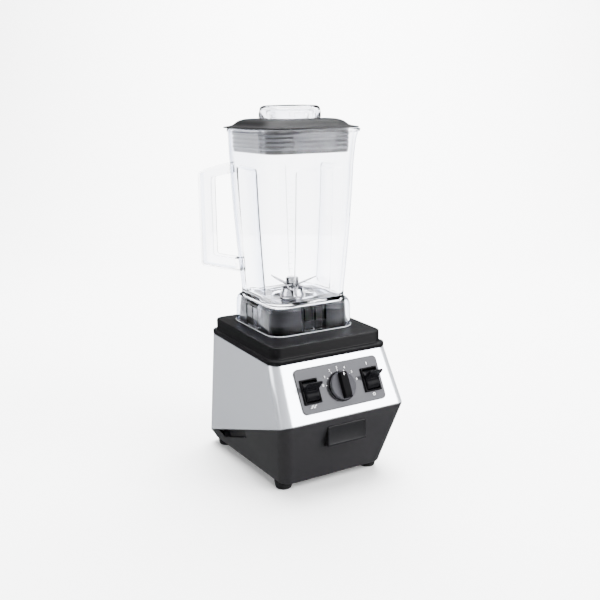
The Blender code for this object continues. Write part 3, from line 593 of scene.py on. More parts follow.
dial_tree, wires = geometry_tree("dots_round_dial", {
    "Count": "Int", "Radius": "Float", "From": "Float", "Span": "Float", "Dot": "Float", "Rise": "Float",
    "Finish": "Material"})
dots = node(dial_tree, "GeometryNodePoints", {}, {"Count": wires["Count"]})
turn = wires["From"] + node(dial_tree, "GeometryNodeInputIndex") * wires["Span"] / (wires["Count"] - 1)
across = node(dial_tree, "ShaderNodeMath", {"operation": "SINE"}, {0: turn}) * wires["Radius"]
along = node(dial_tree, "ShaderNodeMath", {"operation": "COSINE"}, {0: turn}) * wires["Radius"]
spot = node(dial_tree, "ShaderNodeCombineXYZ", {}, {"X": across, "Y": along, "Z": wires["Rise"]})
dots = node(dial_tree, "GeometryNodeSetPosition", {}, {"Geometry": dots, "Position": spot})
dot = node(dial_tree, "GeometryNodeMeshCylinder", {},
           {"Vertices": 14, "Radius": wires["Dot"], "Depth": 0.00012})
ends_in(dial_tree, node(dial_tree, "GeometryNodeInstanceOnPoints", {}, {"Points": dots, "Instance": dot}),
        wires["Finish"])
dial_place = on_face(PANEL_X, KNOB_UP)


def laid(piece, place):
    """Moves a finished mesh from the middle of a face, where it was made in metres, to its place."""
    piece.data.transform(place @ METRES.inverted())
    return piece


dial_dots = laid(grown("dial_dots", dial_tree, {
    "Count": 7, "Radius": 0.0226, "From": math.radians(-78), "Span": math.radians(156), "Dot": 0.00062,
    "Rise": 0.00178, "Finish": white_ink}), dial_place)
stands_for(dial_dots, "base", "panel_grey")


def numeral(text, size):
    """One printed numeral as a thin mesh about the origin, in metres."""
    curve = bpy.data.curves.new("numeral", "FONT")
    curve.body, curve.size, curve.extrude = text, size * 0.001, 0.00004
    curve.align_x, curve.align_y = "CENTER", "CENTER"
    writer = bpy.data.objects.new("numeral", curve)
    bpy.context.scene.collection.objects.link(writer)
    bpy.context.view_layer.update()
    mesh = bpy.data.meshes.new_from_object(writer)
    bpy.data.objects.remove(writer, do_unlink=True)
    return mesh


numbers = bmesh.new()
for i in range(7):
    angle = math.radians(26 * i - 78)
    reach = 26.6 if i == 3 else 27.6
    glyph = numeral(str(i), 4.6)
    glyph.transform(Matrix.Translation((0.001 * reach * math.sin(angle),
                                        0.001 * (reach - 0.6) * math.cos(angle), 0.00179)))
    numbers.from_mesh(glyph)
numbers = shaped("dial_numbers", numbers, white_ink, dial_place @ METRES.inverted())
stands_for(numbers, "base", "panel_grey")


# ---------------------------------------------------------------- switches
# Two framed switch bodies snap through the panel. In each a winged paddle of gloss black ABS rocks on
# moulded pins; the left one springs back for short pulses and the right one stays where it is pushed.

control_black = finish("control_black", {"Specular IOR Level": 0.02},
                       moulded((0.0026, 0.0026, 0.0032), (0.0036, 0.0036, 0.0042), 0.26, 1600.0, 0.00001))
frame_black = finish("frame_black", {"Specular IOR Level": 0.02},
                     moulded((0.0022, 0.0022, 0.0026), (0.0034, 0.0034, 0.0038), 0.34, 1600.0, 0.00003))


SWITCH_BODY = (12.0, 12.0, 15.4, 15.4, 1.0)
SWITCH_RIM = (13.4, 13.4, 17.1, 17.1, 1.4)
SWITCH_WELL = (10.8, 10.8, 14.6, 14.6, 0.8)
PADDLE_HALF = 10.2
PADDLE_SIDE = [(-13, -1), (-13, 3.2), (-12.4, 4.4), (-10.5, 6.2), (-8.6, 7.1), (-6.5, 7.4), (-4.2, 7.35),
               (-2.5, 7.0), (-1.0, 6.3), (0.2, 5.6), (1.8, 9.0), (4.2, 15.6), (6.6, 22.2), (7.1, 23.1),
               (7.8, 23.5), (8.6, 23.4), (9.2, 22.9), (9.3, 21.6), (8.4, 16.5), (6.9, 10.0), (5.4, 6.4),
               (6.6, 5.0), (9, 3.8), (11.6, 2.4), (13, 1.6), (13, -1), (8, -5.4), (0, -7), (-8, -5.4)]
for word, side in (("pulse", -1), ("power", 1)):
    place = on_face(PANEL_X + side * SWITCH_OUT, SWITCH_UP)
    body = shaped(word + "_switch_frame", skinned([outline(shape, inset, z, 6) for shape, inset, z in (
        (SWITCH_BODY, 0, -20), (SWITCH_BODY, 0, 2.0), (SWITCH_RIM, 0, 2.0), (SWITCH_RIM, 0, 3.6),
        (SWITCH_RIM, 0.3, 4.2), (SWITCH_RIM, 0.9, 4.7), (SWITCH_RIM, 1.5, 4.75))], closed=False), place=place)
    cut(body, skinned([outline(SWITCH_WELL, inset, z, 6) for inset, z in (
        (0.9, -11), (0, 3.2), (-0.8, 4.2), (-0.8, 9))], closed=False), place)
    body.data.materials.append(frame_black)
    stands_for(body, "base", "control_black", word + "_switch_body")
    stations = []
    for x, pinch in ((-PADDLE_HALF, 0.9), (-9.9, 0.35), (-9.3, 0), (-6, 0), (-3, 0), (0, 0), (3, 0), (6, 0),
                     (9.3, 0), (9.9, 0.35), (PADDLE_HALF, 0.9)):
        dip = 0.5 * (1 - (x / PADDLE_HALF) ** 2)
        ring = []
        for s, h in PADDLE_SIDE:
            drop = pinch if h > 1 else 0
            hollow = dip if 6 < h < 8 and s < 0 else 0
            ring.append((x, s - math.copysign(drop * 0.6, s), h - drop - hollow))
        stations.append(ring)
    paddle = shaped(word + "_wing", skinned(stations, closed=False), place=place, sharp=38)
    for groove in (-11.2, -9.9, -8.6):
        notch = [(groove + s, 7.9 + h) for s, h in ((-0.25, -3.2), (0.25, -3.2), (0.25, 1), (-0.25, 1))]
        cut(paddle, prism(notch, -7.6, 7.6), place)
    paddle.data.materials.append(control_black)
    eased(paddle, 0.35, 2, 40)
    stands_for(paddle, word, "control_black", word + "_paddle")


# ---------------------------------------------------------------- speed knob
# A gloss black knob moulded in one: a wide skirt with fine pointer teeth, a shallow round body and a tall
# grip bar across it. It presses onto the steel spindle of the rotary control behind the face.

BASE_OUT, DISC_OUT, BAR_OUT, BAR_HALF = 2.2, 10.5, 17.0, 6.6


def knob_moulding(tree):
    """Pattern of the knob: a paler grey on the round body as a painted sheen, satin there, and polished black
    on the grip bar that stands above it.
    """
    place = from_centre(tree, dial_place.to_translation())
    out = node(tree, "ShaderNodeVectorMath", {"operation": "DOT_PRODUCT"},
               {0: place, 1: dial_place.to_3x3().col[2].normalized()}, out=1)
    grip = node(tree, "ShaderNodeMapRange", {}, {"Value": out, "From Min": 0.0108, "From Max": 0.0116})
    fine = noise(tree, place, 1600.0, 3.0)
    # the round body's paler grey is a painted sheen; the real knob is gloss black all over
    return surface(tree, grip, (0.034, 0.034, 0.038), (0.0018, 0.0018, 0.0021),
                   0.36 - grip * 0.12 + fine * 0.04, fine, 0.00002)


knob_black = finish("knob_black", {"Specular IOR Level": 0.008}, knob_moulding)
knob_bm = lathed([(3.4, BASE_OUT), (KNOB_R, BASE_OUT), (KNOB_R + 0.4, BASE_OUT + 0.3), (KNOB_R + 0.4, 3.9),
                  (KNOB_R, 4.5), (KNOB_R - 0.6, 4.9), (KNOB_R - 0.8, 9.0), (KNOB_R - 1.2, 10.0),
                  (KNOB_R - 2.0, DISC_OUT), (12.0, DISC_OUT - 0.5), (3.4, DISC_OUT - 0.8)], 96)
knob = shaped("knob_body", knob_bm, place=dial_place)
bar_rings = []
for up, grow, reach in ((8.0, 0.5, 18.6), (11.5, 0.2, 18.8), (15.0, -0.3, 18.4), (16.4, -0.9, 17.8),
                        (BAR_OUT, -1.8, 16.8)):
    half = BAR_HALF + grow
    ring = []
    for sign in (1, -1):
        for i in range(13):
            share = -1 + i / 6
        for i in range(13):
            share = i / 6 - 1
            edge = half * (1 - 0.12 * share * share)
            ring.append((sign * edge, sign * reach * share * math.sqrt(1 - 0.06 * share * share), up))
    bar_rings.append(ring)
bar = shaped("grip_bar", skinned(bar_rings, closed=False), place=dial_place)
combined(knob, "UNION", bar)
knob.data.materials.append(knob_black)
stands_for(knob, "knob", "control_black", "speed_knob")

tooth_tree, wires = geometry_tree("teeth_round_skirt", {
    "Count": "Int", "Radius": "Float", "Tooth": "Vector", "Rise": "Float", "Finish": "Material"})
circle_line = node(tooth_tree, "GeometryNodeMeshCircle", {},
                   {"Vertices": wires["Count"], "Radius": wires["Radius"]})
lifted = node(tooth_tree, "ShaderNodeCombineXYZ", {}, {"Z": wires["Rise"]})
circle_line = node(tooth_tree, "GeometryNodeSetPosition", {}, {"Geometry": circle_line, "Offset": lifted})
facing = node(tooth_tree, "FunctionNodeAlignEulerToVector", {"axis": "X"},
              {"Vector": node(tooth_tree, "GeometryNodeInputPosition")})
tooth = node(tooth_tree, "GeometryNodeMeshCube", {}, {"Size": wires["Tooth"]})
ends_in(tooth_tree, node(tooth_tree, "GeometryNodeInstanceOnPoints", {},
                         {"Points": circle_line, "Instance": tooth, "Rotation": facing}), wires["Finish"])
teeth = laid(grown("knob_teeth", tooth_tree, {
    "Count": 60, "Radius": 0.0201, "Tooth": (0.0011, 0.0011, 0.0026), "Rise": 0.0052,
    "Finish": control_black}),
    dial_place)
stands_for(teeth, "knob", "control_black")

pointer = brick((-0.55, 12.8, BAR_OUT - 0.04), (0.55, 16.4, BAR_OUT + 0.08))
pointer = shaped("knob_pointer", pointer, white_ink, dial_place)
stands_for(pointer, "knob", "control_black")
dressed(screw_steel, "knob_spindle")


# ---------------------------------------------------------------- top plate
# A satin black moulding that caps the shell: a flange that overhangs it a little, a raised square tier
# that the jar stands on, and a lip inside the shell that locates it.

TIER = (88.4, 88.4, 104.6, 87.7, 13.0)
FLANGE_TOP_Z, PLATE_Z = 190.2, 207.0
CENTRE_HOLE_R = 24.0


def round_ring(radius, z, steps=14):
    """A circle with as many points as a round-cornered ring, spread the same way round."""
    ring = []
    for start in (0, 90, 180, 270):
        for i in range(steps + 1):
            turn = math.radians(start + 90 * (i + 0.5) / (steps + 1))
            ring.append((radius * math.cos(turn), radius * math.sin(turn), z))
    return ring


plate_plastic = finish("plate_plastic", {"Specular IOR Level": 0.06},
                       moulded((0.0022, 0.0022, 0.0025), (0.0032, 0.0032, 0.0036), 0.40, 1900.0, 0.00005))
top_rings = [round_ring(CENTRE_HOLE_R, PLATE_Z)] + stack(outline, (
    (TIER, 2.4, PLATE_Z), (TIER, 1.1, PLATE_Z - 0.25), (TIER, 0.3, PLATE_Z - 1.0), (TIER, 0, PLATE_Z - 2.2),
    (TIER, -0.2, FLANGE_TOP_Z + 1.6), (TIER, -0.5, FLANGE_TOP_Z + 0.6), (TIER, -1.3, FLANGE_TOP_Z + 0.1),
    (FLANGE, 2.0, FLANGE_TOP_Z), (FLANGE, 0.9, FLANGE_TOP_Z - 0.3), (FLANGE, 0.2, FLANGE_TOP_Z - 1.0),
    (FLANGE, 0, FLANGE_TOP_Z - 2.0), (FLANGE, 0, 184.6), (FLANGE, 0.3, 183.9), (FLANGE, 1.0, 183.6),
    (FLANGE, 3.6, 183.6), (FLANGE, 4.0, 177.6), (FLANGE, 6.8, 177.6), (TIER, 3.0, PLATE_Z - 3.2)))
top_rings.append(round_ring(CENTRE_HOLE_R, PLATE_Z - 3.2))
top_plate = shaped("jar_plate", skinned(top_rings), plate_plastic, sharp=45)
stands_for(top_plate, "base", "plate_plastic", "top_plate")


# ---------------------------------------------------------------- jar pad
# A moulded rubber pad that damps and centres the jar: a low square base with four rounded corner posts,
# notched in the middle of each side for the jar's locating lugs.

PAD_HALF, PAD_TOP_Z, PAD_BASE_Z, PAD_HOLE_R = 62.3, 245.5, 221.0, 24.6
NOTCH_HALF, NOTCH_IN, CLEAR_Z = 20.0, 52.5, 260


def even(half, corner, z):
    return outline((half, half, half, half, corner), 0.0, z)


def height_step(tree, low, high):
    """A soft change from 0 to 1 between two heights above the worktop, in metres."""
    height = node(tree, "ShaderNodeSeparateXYZ", {}, {"Vector": from_centre(tree)}, out="Z")
    return node(tree, "ShaderNodeMapRange", {"interpolation_type": "SMOOTHSTEP"},
                {"Value": height, "From Min": low, "From Max": high})


def posts_rubber(tree):
    """Pattern of the pad: smooth black rubber on its base, and a paler grey painted on the posts above it, a
    painted haze for the light seen on them through the jar's skirt.
    """
    place = from_centre(tree)
    slow = noise(tree, place, 26.0, 3.0)
    # the paler grey on the posts above the base is a painted haze of light
    return surface(tree, height_step(tree, 0.2195, 0.2225) * (0.7 + slow * 0.5), (0.0016, 0.0016, 0.0018),
                   (0.0100, 0.0100, 0.0118), 0.34 + slow * 0.14, noise(tree, place, 800.0), 0.00003)


pad_rubber = finish("pad_rubber", {"Specular IOR Level": 0.15}, posts_rubber)
pad = shaped("jar_pad", skinned([round_ring(PAD_HOLE_R, PLATE_Z + 0.3)] + stack(even, (
    (PAD_HALF, 19, PLATE_Z + 0.3), (PAD_HALF + 0.3, 19, PAD_BASE_Z - 0.6), (PAD_HALF - 0.1, 19, PAD_BASE_Z),
    (PAD_HALF - 0.9, 19, 239), (PAD_HALF - 1.6, 18.4, 243.4), (PAD_HALF - 3.0, 17.5, PAD_TOP_Z - 0.4),
    (PAD_HALF - 4.6, 16.5, PAD_TOP_Z), (49.2, 8.6, PAD_TOP_Z), (48.2, 8, PAD_TOP_Z - 0.8),
    (47.5, 7, PAD_BASE_Z))) + [round_ring(PAD_HOLE_R, PAD_BASE_Z)]))


def notch_cutter(near, far, floor_z, order=1):
    """A block across the pad between two places along x, or along y with the order -1."""
    low, high = (near, -NOTCH_HALF)[::order], (far, NOTCH_HALF)[::order]
    return shaped("gap", brick((*low, floor_z), (*high, CLEAR_Z)))


shallow, deep = PAD_BASE_Z + 0.4, PLATE_Z - 2
gaps = stack(notch_cutter, ((-80, 80, shallow), (-80, 80, shallow, -1), (NOTCH_IN, 80, deep),
                            (-80, -NOTCH_IN, deep), (NOTCH_IN, 80, deep, -1), (-80, -NOTCH_IN, deep, -1)))
combined(pad, "DIFFERENCE", *gaps)
pad.data.materials.append(pad_rubber)
eased(pad, 0.8, 3, 50)
stands_for(pad, "base", "rubber", "centering_pad")


# ---------------------------------------------------------------- jar
# One thick clear copolyester moulding: tapered walls, each with a shallow scooped panel, a dished floor, a
# skirt that drops over the pad, lugs that sit in the pad's notches, a channelled handle and a pouring lip.

JAR_CORNER, JAR_WALL = 24.0, 4.2
JAR_BASE_HALF, JAR_BASE_Z = 61.2, 262.0
JAR_RIM_HALF, JAR_RIM_Z, JAR_BOW = 71.6, 488.6, 1.6
SKIRT_HALF, SKIRT_WALL, SKIRT_Z = 68.3, 3.0, 207.6
JAR_FLOOR_Z = 239.5
SPOUT_REACH, SPOUT_FACING = 7.0, Vector((1, -1)).normalized()
SCOOP_HALF, SCOOP_TOP, SCOOP_LOW, SCOOP_ROUND = 30.0, 438.0, 258.0, 9.0
SCOOP_STEP, SCOOP_DEEP = 0.65, 3.6
GRIP_IN, GRIP_OUT, GRIP_WIDE = 118.0, 138.0, 20.0


def jar_half(z):
    """Outer half width of the tapered wall, which bellies out slightly, at a height."""
    share = min(max((z - JAR_BASE_Z) / (JAR_RIM_Z - JAR_BASE_Z), 0), 1)
    return JAR_BASE_HALF + (JAR_RIM_HALF - JAR_BASE_HALF) * (1 - (1 - share) ** JAR_BOW)


def corner_reach(z):
    return (jar_half(z) - JAR_CORNER) * math.sqrt(2) + JAR_CORNER


def eased_step(value, start, end):
    share = min(max((value - start) / (end - start), 0), 1)
    return share * share * (3 - 2 * share)


def scoop(across, z):
    """How far a wall is pressed in at a distance across it and a height: a panel with rounded corners."""
    middle = (SCOOP_TOP + SCOOP_LOW) / 2
    dx = abs(across) - (SCOOP_HALF - SCOOP_ROUND)
    dz = abs(z - middle) - ((SCOOP_TOP - SCOOP_LOW) / 2 - SCOOP_ROUND)
    off = math.hypot(max(dx, 0), max(dz, 0)) + min(max(dx, dz), 0) - SCOOP_ROUND
    step = SCOOP_STEP * eased_step(-off, 0.0, 1.6)
    bowl = SCOOP_DEEP * max(0.0, 1 - (across / SCOOP_HALF) ** 2)
    bowl *= eased_step(SCOOP_TOP - z, 0, 5.5) * eased_step(z - SCOOP_LOW, 0, 14)
    return step + bowl


ACROSS = [-36, -33, -31, -30.2, -29.6, -29.0, -28.4, -27.6, -26, -23.5, -21, -18, -14, -9, -4.5]
ACROSS += [0] + [-x for x in reversed(ACROSS)]


def jar_ring(half, corner, z, spout=0.0, pressed=True, steps=9):
    """A ring of the wall: four sides with scooped panels, round corners, and the pouring lip's push."""
    ring = []
    flat = half - corner
    for quarter in range(4):
        turn = Matrix.Rotation(math.radians(90 * quarter), 2)
        side = [(half - (scoop(a, z) if pressed else 0), a * min(1, (flat - 0.3) / 36.0)) for a in ACROSS]
        for i in range(1, steps):
            angle = math.radians(90 * i / steps)
            side.append((flat + corner * math.cos(angle), flat + corner * math.sin(angle)))
        for x, y in side:
            spot = turn @ Vector((x, y))
            lined = spot.normalized().dot(SPOUT_FACING)
            if lined > 0.93:
                spot += SPOUT_FACING * spout * SPOUT_REACH * ((lined - 0.93) / 0.07) ** 1.2
            ring.append((spot.x, spot.y, z))
    return ring

def plain_ring(half, corner, z):
    return jar_ring(half, corner, z, pressed=False)


def round_match(radius, z):
    """A circle with a point for each point of a jar ring, at the same bearing."""
    return [(radius * x / math.hypot(x, y), radius * y / math.hypot(x, y), z)
            for x, y, _ in plain_ring(60, 20, 500)]


def clear_moulding(tree):
    """Pattern of clear plastic: a faint cool tint, darkened by painted shade almost to black where a wall is
    seen edge on, for the dark lines that refraction draws there; with faint flow lines.
    """
    edge = node(tree, "ShaderNodeLayerWeight", {}, {"Blend": 0.35}, out="Facing")
    flow = noise(tree, from_centre(tree, stretch=(1, 1, 0.3)), 30.0, 2.0)
    # the ramp's pale start is the plastic's faint tint; its dark blue end is painted shade at grazing views
    return {"Base Color": node(tree, "ShaderNodeValToRGB", {"stops": (
                (0.0, (0.960, 0.962, 0.980, 1)), (0.36, (0.92, 0.93, 0.965, 1)),
                (0.60, (0.44, 0.50, 0.67, 1)), (1.0, (0.02, 0.03, 0.09, 1)))}, {"Fac": edge}),
            "Roughness": 0.012 + flow * 0.012,
            "Normal": node(tree, "ShaderNodeBump", {}, {"Height": flow, "Distance": 0.00004})}


clear_plastic = finish("clear_plastic", {"Transmission Weight": 1.0, "IOR": 1.36,
                                         "Specular Tint": (0.04, 0.04, 0.05, 1.0)}, clear_moulding)
LIP = [(440, 0.0), (462, 0.2), (468, 0.3), (476, 0.45), (482, 0.7), (JAR_RIM_Z, 1.0)]


def lip_at(z):
    """The pouring lip's share of its reach at a height."""
    for (z0, s0), (z1, s1) in zip(LIP, LIP[1:]):
        if z0 <= z <= z1:
            return s0 + (s1 - s0) * (z - z0) / (z1 - z0)
    return 0.0


def wall_ring(z, grow=0.0, wall=0.0):
    return jar_ring(jar_half(z) - wall + grow, JAR_CORNER - wall, z, lip_at(z))


def inner_ring(z, grow=0.0):
    return wall_ring(z, grow, JAR_WALL)


WALL_LEVELS = [258, 259.5, 261, 263, 266, 270, 276, 286, *range(300, 401, 20), 412, 420, 424, 427, 429.5,
               431.5, 433, 434.5, 435.6, 436.6, 437.4, 438.2, 440, 446, 454, 462, 470, 476, 481]
SKIRT_IN = SKIRT_HALF - SKIRT_WALL
outside = stack(round_match, ((10.3, JAR_FLOOR_Z - 4), (26, JAR_FLOOR_Z - 3.4), (34, 241.5)))
outside += stack(plain_ring, (
    (50, 14, 246.0), (59, 18, 247.0), (SKIRT_IN - 2.2, 20, 246.2), (SKIRT_IN - 0.7, 20.6, 243.6),
    (SKIRT_IN, 21, 238), (SKIRT_IN, 21, SKIRT_Z + 0.3), (SKIRT_IN + 0.5, 21.4, SKIRT_Z),
    (SKIRT_HALF - 0.3, 23.6, SKIRT_Z), (SKIRT_HALF + 0.5, 24.2, SKIRT_Z + 0.6),
    (SKIRT_HALF + 0.5, 24.2, SKIRT_Z + 2.2), (SKIRT_HALF - 0.1, 24, SKIRT_Z + 2.9),
    (SKIRT_HALF - 0.5, 24, 236), (SKIRT_HALF - 0.9, 24, 241), (SKIRT_HALF - 2.2, 23.6, 245.4),
    (SKIRT_HALF - 4.0, 23.2, 247.6), (SKIRT_HALF - 5.8, 23, 248.9),
    (jar_half(252) + 0.2, JAR_CORNER, 250.4), (jar_half(254), JAR_CORNER, 254)))
outside += [wall_ring(z) for z in WALL_LEVELS]
outside += stack(wall_ring, ((483.4, 0.1), (484.2, 1.0), (485, 1.3), (487.6, 1.3), (488.3, 1.0),
                             (JAR_RIM_Z, 0.3)))
inside = stack(inner_ring, ((JAR_RIM_Z, 0.9), (488.0, 0.3), (487, 0.0)))
inside += [inner_ring(z) for z in reversed(WALL_LEVELS)]
inside += stack(plain_ring, ((jar_half(256) - JAR_WALL - 0.6, 19, 255.2), (55.4, 17.5, 252.8),
                             (53, 16, 251.4), (50, 14.5, 250.6)))
inside += stack(round_match, ((36.5, 250.0), (35, 249.4), (33.8, 247.6), (32.6, 246.2), (24, 243.4),
                              (16, JAR_FLOOR_Z + 0.8), (10.3, JAR_FLOOR_Z)))
jar = shaped("jar_body", skinned(outside + inside), sharp=50)

handle_turn = ON_AXIS @ Matrix.Rotation(math.radians(135), 4, "Z")
wall_in = JAR_WALL - 1.4
handle_side = [(corner_reach(442) - wall_in, 442), (110, 436.2), (134, 428.8), (GRIP_OUT - 0.6, 426.4),
               (GRIP_OUT, 423), (GRIP_OUT, 292.5), (GRIP_OUT - 1.2, 289.6), (GRIP_OUT - 4, 288.6),
               (110, 285.4), (corner_reach(281.5) - wall_in, 281.5), (corner_reach(300) - wall_in, 300.5),
               (100, 302.8), (115, 304.6), (117.3, 305.6), (GRIP_IN, 308), (GRIP_IN, 416), (117.3, 418.9),
               (115.5, 420), (100, 423.2), (corner_reach(426) - wall_in, 426)]
handle = shaped("jar_handle", prism(handle_side, -GRIP_WIDE / 2, GRIP_WIDE / 2, axis=1), place=handle_turn)
eased(handle, 1.6, 4, 30)
channel_side = [(93, 436.6), (112, 431.6), (132, 425.4), (134.8, 422.4), (134.8, 293.6), (132, 291.8),
                (110, 288.8), (84, 286.0), (86, 303.5), (100, 306.4), (113.2, 308.0), (115, 311), (115, 413),
                (113, 416.6), (100, 419.6), (93, 421.4)]
cut(handle, prism(channel_side, -6.6, 6.6, axis=1), handle_turn)
combined(jar, "UNION", handle)

LUG_HALF, LUG_LOW, LUG_TOP, LUG_ROUND = 18.2, 209.4, 245.6, 5
lug_outline = [(side * (LUG_HALF - LUG_ROUND) + LUG_ROUND * math.cos(math.radians(start + 15 * i)),
                LUG_LOW + LUG_ROUND + LUG_ROUND * math.sin(math.radians(start + 15 * i)))
               for side, start in ((-1, 180), (1, 270)) for i in range(7)]
lug_outline += [(LUG_HALF, LUG_TOP), (-LUG_HALF, LUG_TOP)]
lugs = []
for quarter in range(4):
    place = ON_AXIS @ Matrix.Rotation(math.radians(90 * quarter), 4, "Z")
    lug = shaped("lug", prism(lug_outline, -65.8, -54.6, axis=1), place=place)
    eased(lug, 0.8, 3, 40)
    cut(lug, brick((-15.8, -63.4, 212), (-1.4, -57.0, 260)), place)
    cut(lug, brick((1.4, -63.4, 212), (15.8, -57.0, 260)), place)
    lugs.append(lug)
combined(jar, "UNION", *lugs)
jar.data.materials.clear()
jar.data.materials.append(clear_plastic)
stands_for(jar, "jar", "clear_copolyester", "jar")

# graduation marks, moulded as fine raised lines on the left-hand side of the front wall
ladder_tree, wires = geometry_tree("rungs_up_wall", {
    "Count": "Int", "Step": "Vector", "Rung": "Vector", "Long Rung": "Vector", "Every": "Int",
    "Finish": "Material"})
rungs = node(ladder_tree, "GeometryNodeMeshLine", {"mode": "OFFSET"},
             {"Count": wires["Count"], "Start Location": (0, 0, 0), "Offset": wires["Step"]})
pair = node(ladder_tree, "GeometryNodeJoinGeometry")
for size in ("Long Rung", "Rung"):
    rung = node(ladder_tree, "GeometryNodeMeshCube", {}, {"Size": wires[size]})
    rung = node(ladder_tree, "GeometryNodeGeometryToInstance", {}, {0: rung})
    ladder_tree.links.new(rung.socket, pair.socket.node.inputs[0])
counted = node(ladder_tree, "GeometryNodeInputIndex")
which = node(ladder_tree, "ShaderNodeMath", {"operation": "FLOORED_MODULO"}, {0: counted, 1: wires["Every"]})
picked = node(ladder_tree, "ShaderNodeMath", {"operation": "LESS_THAN"}, {0: which, 1: 0.5})
ends_in(ladder_tree, node(ladder_tree, "GeometryNodeInstanceOnPoints", {}, {
    "Points": rungs, "Instance": pair, "Pick Instance": True, "Instance Index": picked}), wires["Finish"])


def frosted(tree):
    """Pattern of a fine raised mark in clear plastic: slightly milky, with a soft bloom; round the skirt's
    edge the same milkiness is a painted highlight.
    """
    haze = noise(tree, from_centre(tree), 500.0, 2.0)
    return surface(tree, haze, (0.70, 0.72, 0.76), (0.80, 0.82, 0.86), 0.35 + haze * 0.1)


mark_plastic = finish("mark_plastic", {"Transmission Weight": 0.85, "IOR": 1.42}, frosted)
lean = (jar_half(420) - jar_half(280)) / 140.0
ladder = grown("fill_lines", ladder_tree, {
    "Count": 19, "Step": (0, -0.001 * lean * 7.6, 0.0076), "Rung": (0.0042, 0.0004, 0.0005),
    "Long Rung": (0.0074, 0.0004, 0.0006), "Every": 3, "Finish": mark_plastic})
ladder.data.transform(Matrix.Translation(AXIS + Vector((-0.0385, -0.001 * (jar_half(280) + 0.12), 0.280))))
stands_for(ladder, "jar", "clear_copolyester")
# a milky ring round the skirt's lower edge, a painted highlight for the fine pale line of light that the edge
# catches
edge_haze = finish("edge_haze", {"Transmission Weight": 0.35, "IOR": 1.4}, frosted)
skirt_edge = shaped("skirt_edge", skinned(stack(even, (
    (SKIRT_HALF + 0.45, 24.2, SKIRT_Z + 0.9), (SKIRT_HALF + 0.85, 24.4, SKIRT_Z + 0.9),
    (SKIRT_HALF + 0.85, 24.4, SKIRT_Z + 2.0), (SKIRT_HALF + 0.45, 24.2, SKIRT_Z + 2.0)))), edge_haze)
stands_for(skirt_edge, "jar", "clear_copolyester")


# ---------------------------------------------------------------- blade hub
# A polished stainless bearing housing through the jar's floor, held by a nut below: a ring of flats at its
# foot and a cone above, with two sealed bearings and a lip seal inside.

def brushed_turning(dark, light, rough):
    """Pattern of turned or ground steel: fine rings round the upright axis and a slow unevenness."""
    def pattern(tree):
        rings = noise(tree, from_centre(tree, stretch=(1, 1, 22)), 160.0, 3.0, 0.6)
        smear = noise(tree, from_centre(tree), 70.0, 3.0)
        return surface(tree, smear * 0.6 + rings * 0.4, dark, light,
                       rough + rings * 0.10 + (smear - 0.5) * 0.05, rings, 0.00003)
    return pattern


def flatted(rows, sides, deep, count):
    """A turned part of (radius, height, flat) rows; flat, 0 to 1, draws the circle in to flat sides."""
    rings = []
    wedge = math.pi / sides
    for r, z, flat in rows:
        ring = []
        for i in range(count):
            angle = 2 * math.pi * i / count
            local = (angle + wedge) % (2 * wedge) - wedge
            reach = r * (1 + flat * (deep / math.cos(local) - 1))
            ring.append((reach * math.cos(angle), reach * math.sin(angle), z))
        rings.append(ring)
    return skinned(rings)


hub_steel = finish("hub_steel", {"Metallic": 1.0},
                   brushed_turning((0.26, 0.26, 0.27), (0.55, 0.55, 0.56), 0.05))
hub_side = ((8.3, 229, 0), (10.0, 229, 0), (10.0, 239.8, 0), (17.4, 239.9, 1), (18.6, 240.6, 1),
            (18.9, 241.6, 1), (18.9, 247.4, 1), (18.4, 248.4, 1), (17.2, 249.0, 0), (17.0, 249.8, 0),
            (18.0, 250.4, 0), (18.0, 251.2, 0), (17.3, 252.6, 0), (16.2, 255.0, 0), (15.0, 257.8, 0),
            (14.2, 259.8, 0), (13.4, 260.6, 0), (11.0, 261.4, 0), (9.0, 262.0, 0), (4.9, 262.0, 0),
            (4.7, 261.6, 0), (4.7, 258.0, 0), (8.3, 258.0, 0))
hub = shaped("blade_housing", flatted(hub_side, 12, math.cos(math.pi / 12), 96), hub_steel, sharp=18)
stands_for(hub, "jar", "polished_steel", "blade_hub")
dressed(hub_steel, "hub_nut", "blade_bearing_upper", "blade_bearing_lower")
dressed(mount_rubber, "shaft_seal")


# ---------------------------------------------------------------- blades
# Three stamped stainless blades, each ground to an edge along its leading sides and bent to its own angle,
# stacked on the shaft under a hexagonal cap nut; the coupler below carries the motor's drive.

# the blades' stainless steel is darkened in its colour, a painted shade for the dark reflections they show
# inside the jar; the shaft and coupler take it too
blade_steel = finish("blade_steel", {"Metallic": 1.0},
                     brushed_turning((0.09, 0.09, 0.10), (0.16, 0.16, 0.17), 0.14))


def blade_arm(reach):
    """Half width of a blade at a share of its reach: it narrows smoothly to a clipped tip."""
    return max(1.9, 8.2 - 2.6 * reach - 3.4 * max(0.0, reach - 0.62) / 0.38)


